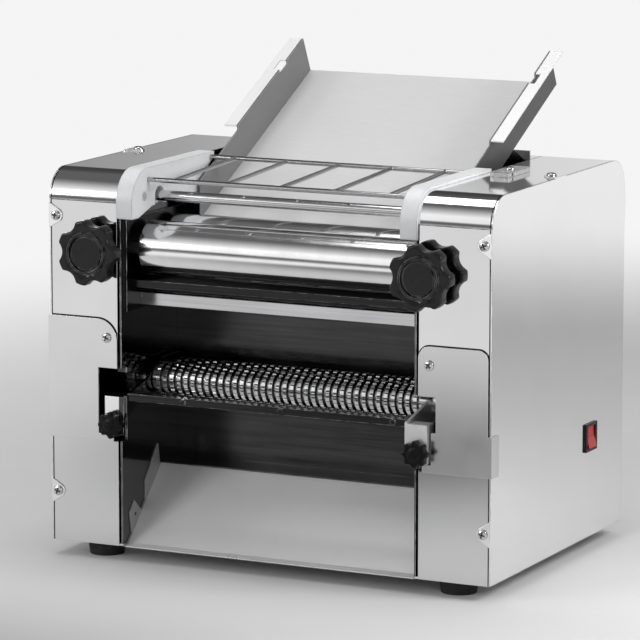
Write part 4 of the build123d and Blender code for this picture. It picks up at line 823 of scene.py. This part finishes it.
def make_comb_cutters():
    """The two cutters: the discs of one run in the grooves of the other."""
    tree = make_cutter_tree()
    row_length = (DISC_COUNT - 1) * DISC_PITCH + DISC_WIDTH
    for name, side in (("front", -1), ("rear", 1)):
        middle, low, high = centre_of(f"{name}_cutter")
        mesh = grown_mesh(f"{name}_comb_cutter", tree, bpy.data.meshes.new("seed"), {
            "First Disc": side * DISC_PITCH / 4 - row_length / 2, "Twist": -side * DISC_TWIST,
            "Left End": low.x, "Right End": high.x, "Finish": cutter_chrome,
        })
        mesh.transform(Matrix.Translation((0.0, middle.y, middle.z)))
        new_piece(f"{name}_comb_cutter", mesh, cutter_chrome, f"{name}_cutter_roller",
                  f"{name}_cutter")


make_comb_cutters()


# ---------------------------------------------------------------- grip knobs
STEPS_PER_LOBE = 18
EDGE_STEPS = 5
EASE_SHARE = 0.06


def lobed_radius(angle, outer, lobes, scoop, scoop_at):
    """Grip outline: a circle with hollows between its lobes, its corners eased."""
    pitch = 2 * pi / lobes
    turn = (angle - pitch / 2) % pitch
    turn = min(turn, pitch - turn)
    inside = scoop ** 2 - (scoop_at * sin(turn)) ** 2
    if inside <= 0:
        return outer
    hollow = scoop_at * cos(turn) - inside ** 0.5
    ease = outer * EASE_SHARE
    blend = max(0.0, min(1.0, 0.5 + 0.5 * (hollow - outer) / ease))
    return hollow * (1 - blend) + outer * blend - ease * blend * (1 - blend)


def make_knob(name, body, node_name, outer, lobes, scoop, scoop_at, profile, finish):
    """A moulded grip turned towards the front. profile rows are (inset, radius, depth):
    an inset follows the lobes, a radius is round, and depth counts back from the front."""
    middle, low, _ = centre_of(node_name)
    steps = lobes * STEPS_PER_LOBE
    rings = []
    for inset, radius, depth in profile:
        ring = []
        for step in range(steps):
            angle = 2 * pi * step / steps
            reach = radius if inset is None else (
                lobed_radius(angle, outer, lobes, scoop, scoop_at) - inset)
            ring.append((middle.x + reach * cos(angle), low.y + depth,
                         middle.z + reach * sin(angle)))
        rings.append(ring)
    new_piece(name, closed_rings(name, rings, smooth_below=50), finish, body, node_name)


def edge_rows(depth, radius, turned_in):
    """Rows that round the grip's edge: turned_in for the front edge."""
    rows = []
    for step in range(EDGE_STEPS + 1):
        angle = radians(90 / EDGE_STEPS * step)
        rows.append((radius * (1 - cos(angle)), None, depth - radius * sin(angle)))
    if turned_in:
        return rows
    return [(inset, None, 2 * depth - back) for inset, _, back in reversed(rows)]


def round_ring(middle, radius, y, steps=32):
    """Points round a circle that faces the front."""
    angles = [2 * pi * step / steps for step in range(steps)]
    return [(middle.x + radius * cos(angle), y, middle.z + radius * sin(angle))
            for angle in angles]


def make_thickness_knobs():
    """Large grips with a raised ring round an inset disc, on a short hub."""
    hub_r, hub_end, thick, round_edge = 10.0 * MM, 21.7 * MM, 15.0 * MM, 2.2 * MM
    face = 1.5 * MM
    sunk = face + 1.2 * MM
    ring_foot, ring_outer, ring_inner = 19.6 * MM, 18.9 * MM, 17.0 * MM
    groove_outer, groove_inner, disc_edge, disc_middle = 16.4 * MM, 15.2 * MM, 14.8 * MM, 6.0 * MM
    rows = [(None, hub_r, hub_end), (None, hub_r, thick), (2.5 * MM, None, thick)]
    rows += edge_rows(thick - round_edge, round_edge, False)
    rows += edge_rows(face + round_edge, round_edge, True)
    rows += [
        (6.0 * MM, None, face + 0.2 * MM), (None, ring_foot, face + 0.5 * MM),
        (None, ring_outer, 0.0), (None, ring_inner, 0.0), (None, groove_outer, sunk),
        (None, groove_inner, sunk), (None, disc_edge, face), (None, disc_middle, face),
    ]
    for side in ("left", "right"):
        make_knob(f"grip_{side}", f"{side}_thickness_knob", f"thickness_knob_{side}",
                  outer=29.95 * MM, lobes=7, scoop=12.0 * MM, scoop_at=37.2 * MM, profile=rows,
                  finish=knob_plastic)


def make_clamp_knobs():
    """Small grips with a low round cap on each, and the screws behind them."""
    thick, round_edge, face, dish = 9.5 * MM, 1.4 * MM, 1.2 * MM, 1.0 * MM
    hub_r, cap_foot, cap_side, cap_face = 6.0 * MM, 6.4 * MM, 6.0 * MM, 5.4 * MM
    shank, sunk, tip, tip_share = 3.0 * MM, 1.0 * MM, 0.8 * MM, 0.75
    rows = [(None, shank, thick), (None, hub_r, thick), (1.8 * MM, None, thick)]
    rows += edge_rows(thick - round_edge, round_edge, False)
    rows += edge_rows(face + round_edge, round_edge, True)
    rows += [(3.4 * MM, None, dish), (None, cap_foot, dish), (None, cap_side, 0.3 * MM),
             (None, cap_face, 0.0)]
    for side in ("left", "right"):
        node_name = f"clamp_knob_{side}"
        make_knob(f"clamp_grip_{side}", f"{side}_clamp", node_name, outer=12.45 * MM, lobes=8,
                  scoop=4.0 * MM, scoop_at=14.3 * MM, profile=rows, finish=black_plastic)
        middle, low, high = centre_of(node_name)
        rings = [round_ring(middle, shank, low.y + thick - sunk),
                 round_ring(middle, shank, high.y - tip),
                 round_ring(middle, shank * tip_share, high.y)]
        new_piece(f"clamp_screw_{side}", closed_rings(f"clamp_screw_{side}", rings), shaft_steel,
                  f"{side}_clamp")


make_thickness_knobs()
make_clamp_knobs()


# ---------------------------------------------------------------- studio
FLOOR_REACH = 14.0
FLOOR_TONES = (grey(0.66), grey(0.68))
FLOOR_PATCH_SIZE = 3.0
# A patch of floor before the machine is painted dark as shade, which the polished fronts mirror.
FLOOR_SHADE_TONE = grey(0.22)
FLOOR_SHADE_CENTRE = (-0.15, -0.78, 0.0)
FLOOR_SHADE_RADII = (0.08, 0.54)
GLOW_TONE = grey(0.91)
GLOW_CENTRE = (0.35, 0.45, 0.0)
GLOW_RADII = (0.7, 1.75)
GLOW_FRONT_Y = (-2.7, -2.35)

EVEN_STRENGTH = 0.55
EVEN_SKY = ((0.0, 0.35), (0.7, 0.9))
BEHIND_SKY = ((0.0, 0.80), (0.2, 0.74), (0.28, 0.05), (0.66, 0.06), (0.86, 0.12), (1.0, 0.15))
LEFT_SKY = ((0.0, 0.36), (0.2, 0.30), (0.28, 0.05), (0.66, 0.06), (0.86, 0.12), (1.0, 0.15))
FRONT_SKY = ((0.0, 0.12), (0.07, 0.16), (0.15, 0.92), (0.45, 1.0), (0.68, 0.50), (0.84, 0.12))
AROUND_SKY = ((0.0, 0.72), (0.2, 0.60), (0.45, 0.30), (1.0, 0.30))
LEFT_X = (-0.50, -0.36)
BEHIND_Y = (0.0, 0.45)
BANDS_X = -0.43
BANDS_HALF = (0.12, 0.26)

AIM = (0.0, 0.0, 0.2)
LAMPS = (
    ("right_side_box", (0.80, -0.10, 0.62), (0.31, -0.02, 0.0), 0.3, 3.8),
    ("overhead_box", (-0.3, 0.0, 2.6), AIM, 1.3, 18),
    ("left_front_box", (-1.9, -2.25, 1.1), AIM, 0.9, 22),
)

LENS_MM = 235.5
CAMERA_PLACE = (1.6583, -3.4466, 0.8644)
CAMERA_DEGREES = (80.286, -0.020, 26.061)


def seen_rays(tree, place):
    """One for rays that show the surroundings: seen, mirrored or let through."""
    x, y = place
    path = add_node(tree, "ShaderNodeLightPath", place)
    seen = worked_value(tree, "MAXIMUM", (x + 200, y), path.outputs["Is Camera Ray"],
                        path.outputs["Is Glossy Ray"])
    return worked_value(tree, "MAXIMUM", (x + 400, y), seen,
                        path.outputs["Is Transmission Ray"])


def far_from(tree, coords, middle, radii, place):
    """A mask that rises softly between two distances from a point."""
    x, y = place
    distance = add_node(tree, "ShaderNodeVectorMath", place, operation="DISTANCE")
    feed(tree, distance.inputs, (coords, middle))
    return eased(tree, distance.outputs["Value"], *radii, (x + 200, y))


def make_floor():
    """A wide pale floor: painted dark as shade in a patch before the machine, shadowed near it,
    glowing pale far from it.
    """
    mesh = bpy.data.meshes.new("floor")
    corners = [(x * FLOOR_REACH, y * FLOOR_REACH, 0)
               for x, y in ((-1, -1), (1, -1), (1, 1), (-1, 1))]
    mesh.from_pydata(corners, [], [(0, 1, 2, 3)])
    floor = bpy.data.objects.new("floor", mesh)
    bpy.context.collection.objects.link(floor)
    paint = bpy.data.materials.new("floor_paint")
    paint.use_nodes = True
    tree = paint.node_tree
    shader = tree.nodes["Principled BSDF"]
    shader.inputs["Roughness"].default_value = 0.7
    shader.inputs["Specular IOR Level"].default_value = 0.2
    patches = use_group(tree, SMUDGE, (-900, 0), Size=FLOOR_PATCH_SIZE)
    tint = blended(tree, patches.outputs["Patches"], *FLOOR_TONES, (-400, 0))
    coords = object_coords(tree, (-1200, -300))
    outside_floor_shade = far_from(tree, coords, FLOOR_SHADE_CENTRE, FLOOR_SHADE_RADII, (-1000, 200))
    tint = blended(tree, outside_floor_shade, FLOOR_SHADE_TONE, tint, (-200, 100))
    far = far_from(tree, coords, GLOW_CENTRE, GLOW_RADII, (-1000, -300))
    split = add_node(tree, "ShaderNodeSeparateXYZ", (-1000, -450))
    tree.links.new(coords, split.inputs[0])
    within = eased(tree, split.outputs["Y"], *GLOW_FRONT_Y, (-800, -450))
    front = worked_value(tree, "MULTIPLY", (-700, -400), within, outside_floor_shade)
    glowing = worked_value(tree, "MULTIPLY", (-600, -300), far, front)
    share = worked_value(tree, "MULTIPLY", (-400, -300), glowing,
                         seen_rays(tree, (-1200, -500)))
    glow = add_node(tree, "ShaderNodeEmission", (-200, -300))
    glow.inputs["Color"].default_value = (*GLOW_TONE, 1.0)
    mixed = add_node(tree, "ShaderNodeMixShader", (200, 0))
    join(tree,
         (tint, shader.inputs["Base Color"]), (share, mixed.inputs["Fac"]),
         (shader.outputs[0], mixed.inputs[1]), (glow.outputs[0], mixed.inputs[2]),
         (mixed.outputs[0], tree.nodes["Material Output"].inputs["Surface"]))
    mesh.materials.append(paint)


def make_softbox(name, place, target, size, watts):
    """A square area lamp aimed at a point."""
    lamp = bpy.data.lights.new(name, "AREA")
    lamp.shape = "SQUARE"
    lamp.size = size
    lamp.energy = watts
    holder = bpy.data.objects.new(name, lamp)
    holder.location = place
    holder.rotation_euler = (Vector(target) - Vector(place)).to_track_quat("-Z", "Y").to_euler()
    bpy.context.collection.objects.link(holder)


def sky_ramp(tree, height, stops, place):
    """Grey levels by height: stops are (height, grey)."""
    ramp = add_node(tree, "ShaderNodeValToRGB", place)
    points = ramp.color_ramp.elements
    while len(points) < len(stops):
        points.new(0.5)
    for point, (position, tone) in zip(points, stops):
        point.position = position
        point.color = (*grey(tone), 1.0)
    tree.links.new(height, ramp.inputs["Fac"])
    return ramp.outputs["Color"]


def make_room():
    """Even grey light, and the room's pale and dark bands that polished metal mirrors."""
    world = bpy.data.worlds.new("studio")
    bpy.context.scene.world = world
    world.use_nodes = True
    tree = world.node_tree
    coords = add_node(tree, "ShaderNodeTexCoord", (-1600, 0))
    split = add_node(tree, "ShaderNodeSeparateXYZ", (-1400, 0))
    tree.links.new(coords.outputs["Generated"], split.inputs[0])
    x, y, height = split.outputs
    even = tree.nodes["Background"]
    even.inputs["Strength"].default_value = EVEN_STRENGTH
    behind = blended(tree, eased(tree, x, *LEFT_X, (-1200, 300)),
                     sky_ramp(tree, height, LEFT_SKY, (-1000, 300)),
                     sky_ramp(tree, height, BEHIND_SKY, (-1000, 0)), (-800, 150))
    bands = blended(tree, eased(tree, y, *BEHIND_Y, (-1000, -600)),
                    sky_ramp(tree, height, FRONT_SKY, (-1000, -300)), behind, (-600, -200))
    offset = worked_value(tree, "ADD", (-1200, -450), x, -BANDS_X)
    aside = worked_value(tree, "ABSOLUTE", (-1050, -450), offset)
    around = sky_ramp(tree, height, AROUND_SKY, (-1000, -750))
    room = blended(tree, eased(tree, aside, *BANDS_HALF, (-900, -450)), bands, around,
                   (-300, -300))
    mirrored = add_node(tree, "ShaderNodeBackground", (0, -200))
    mixed = add_node(tree, "ShaderNodeMixShader", (300, 0))
    join(tree,
         (sky_ramp(tree, height, EVEN_SKY, (-400, 300)), even.inputs["Color"]),
         (room, mirrored.inputs["Color"]), (seen_rays(tree, (-1000, -900)), mixed.inputs["Fac"]),
         (even.outputs[0], mixed.inputs[1]), (mirrored.outputs[0], mixed.inputs[2]),
         (mixed.outputs[0], tree.nodes["World Output"].inputs["Surface"]))


def make_camera():
    """A long lens from the right front, a little above."""
    camera = bpy.data.cameras.new("camera")
    camera.lens = LENS_MM
    camera.sensor_width = 36.0
    camera.clip_end = 100.0
    holder = bpy.data.objects.new("camera", camera)
    holder.location = CAMERA_PLACE
    holder.rotation_euler = [radians(angle) for angle in CAMERA_DEGREES]
    bpy.context.collection.objects.link(holder)
    bpy.context.scene.camera = holder


make_floor()
for lamp in LAMPS:
    make_softbox(*lamp)
make_room()
make_camera()
bpy.context.scene.view_settings.view_transform = "Standard"
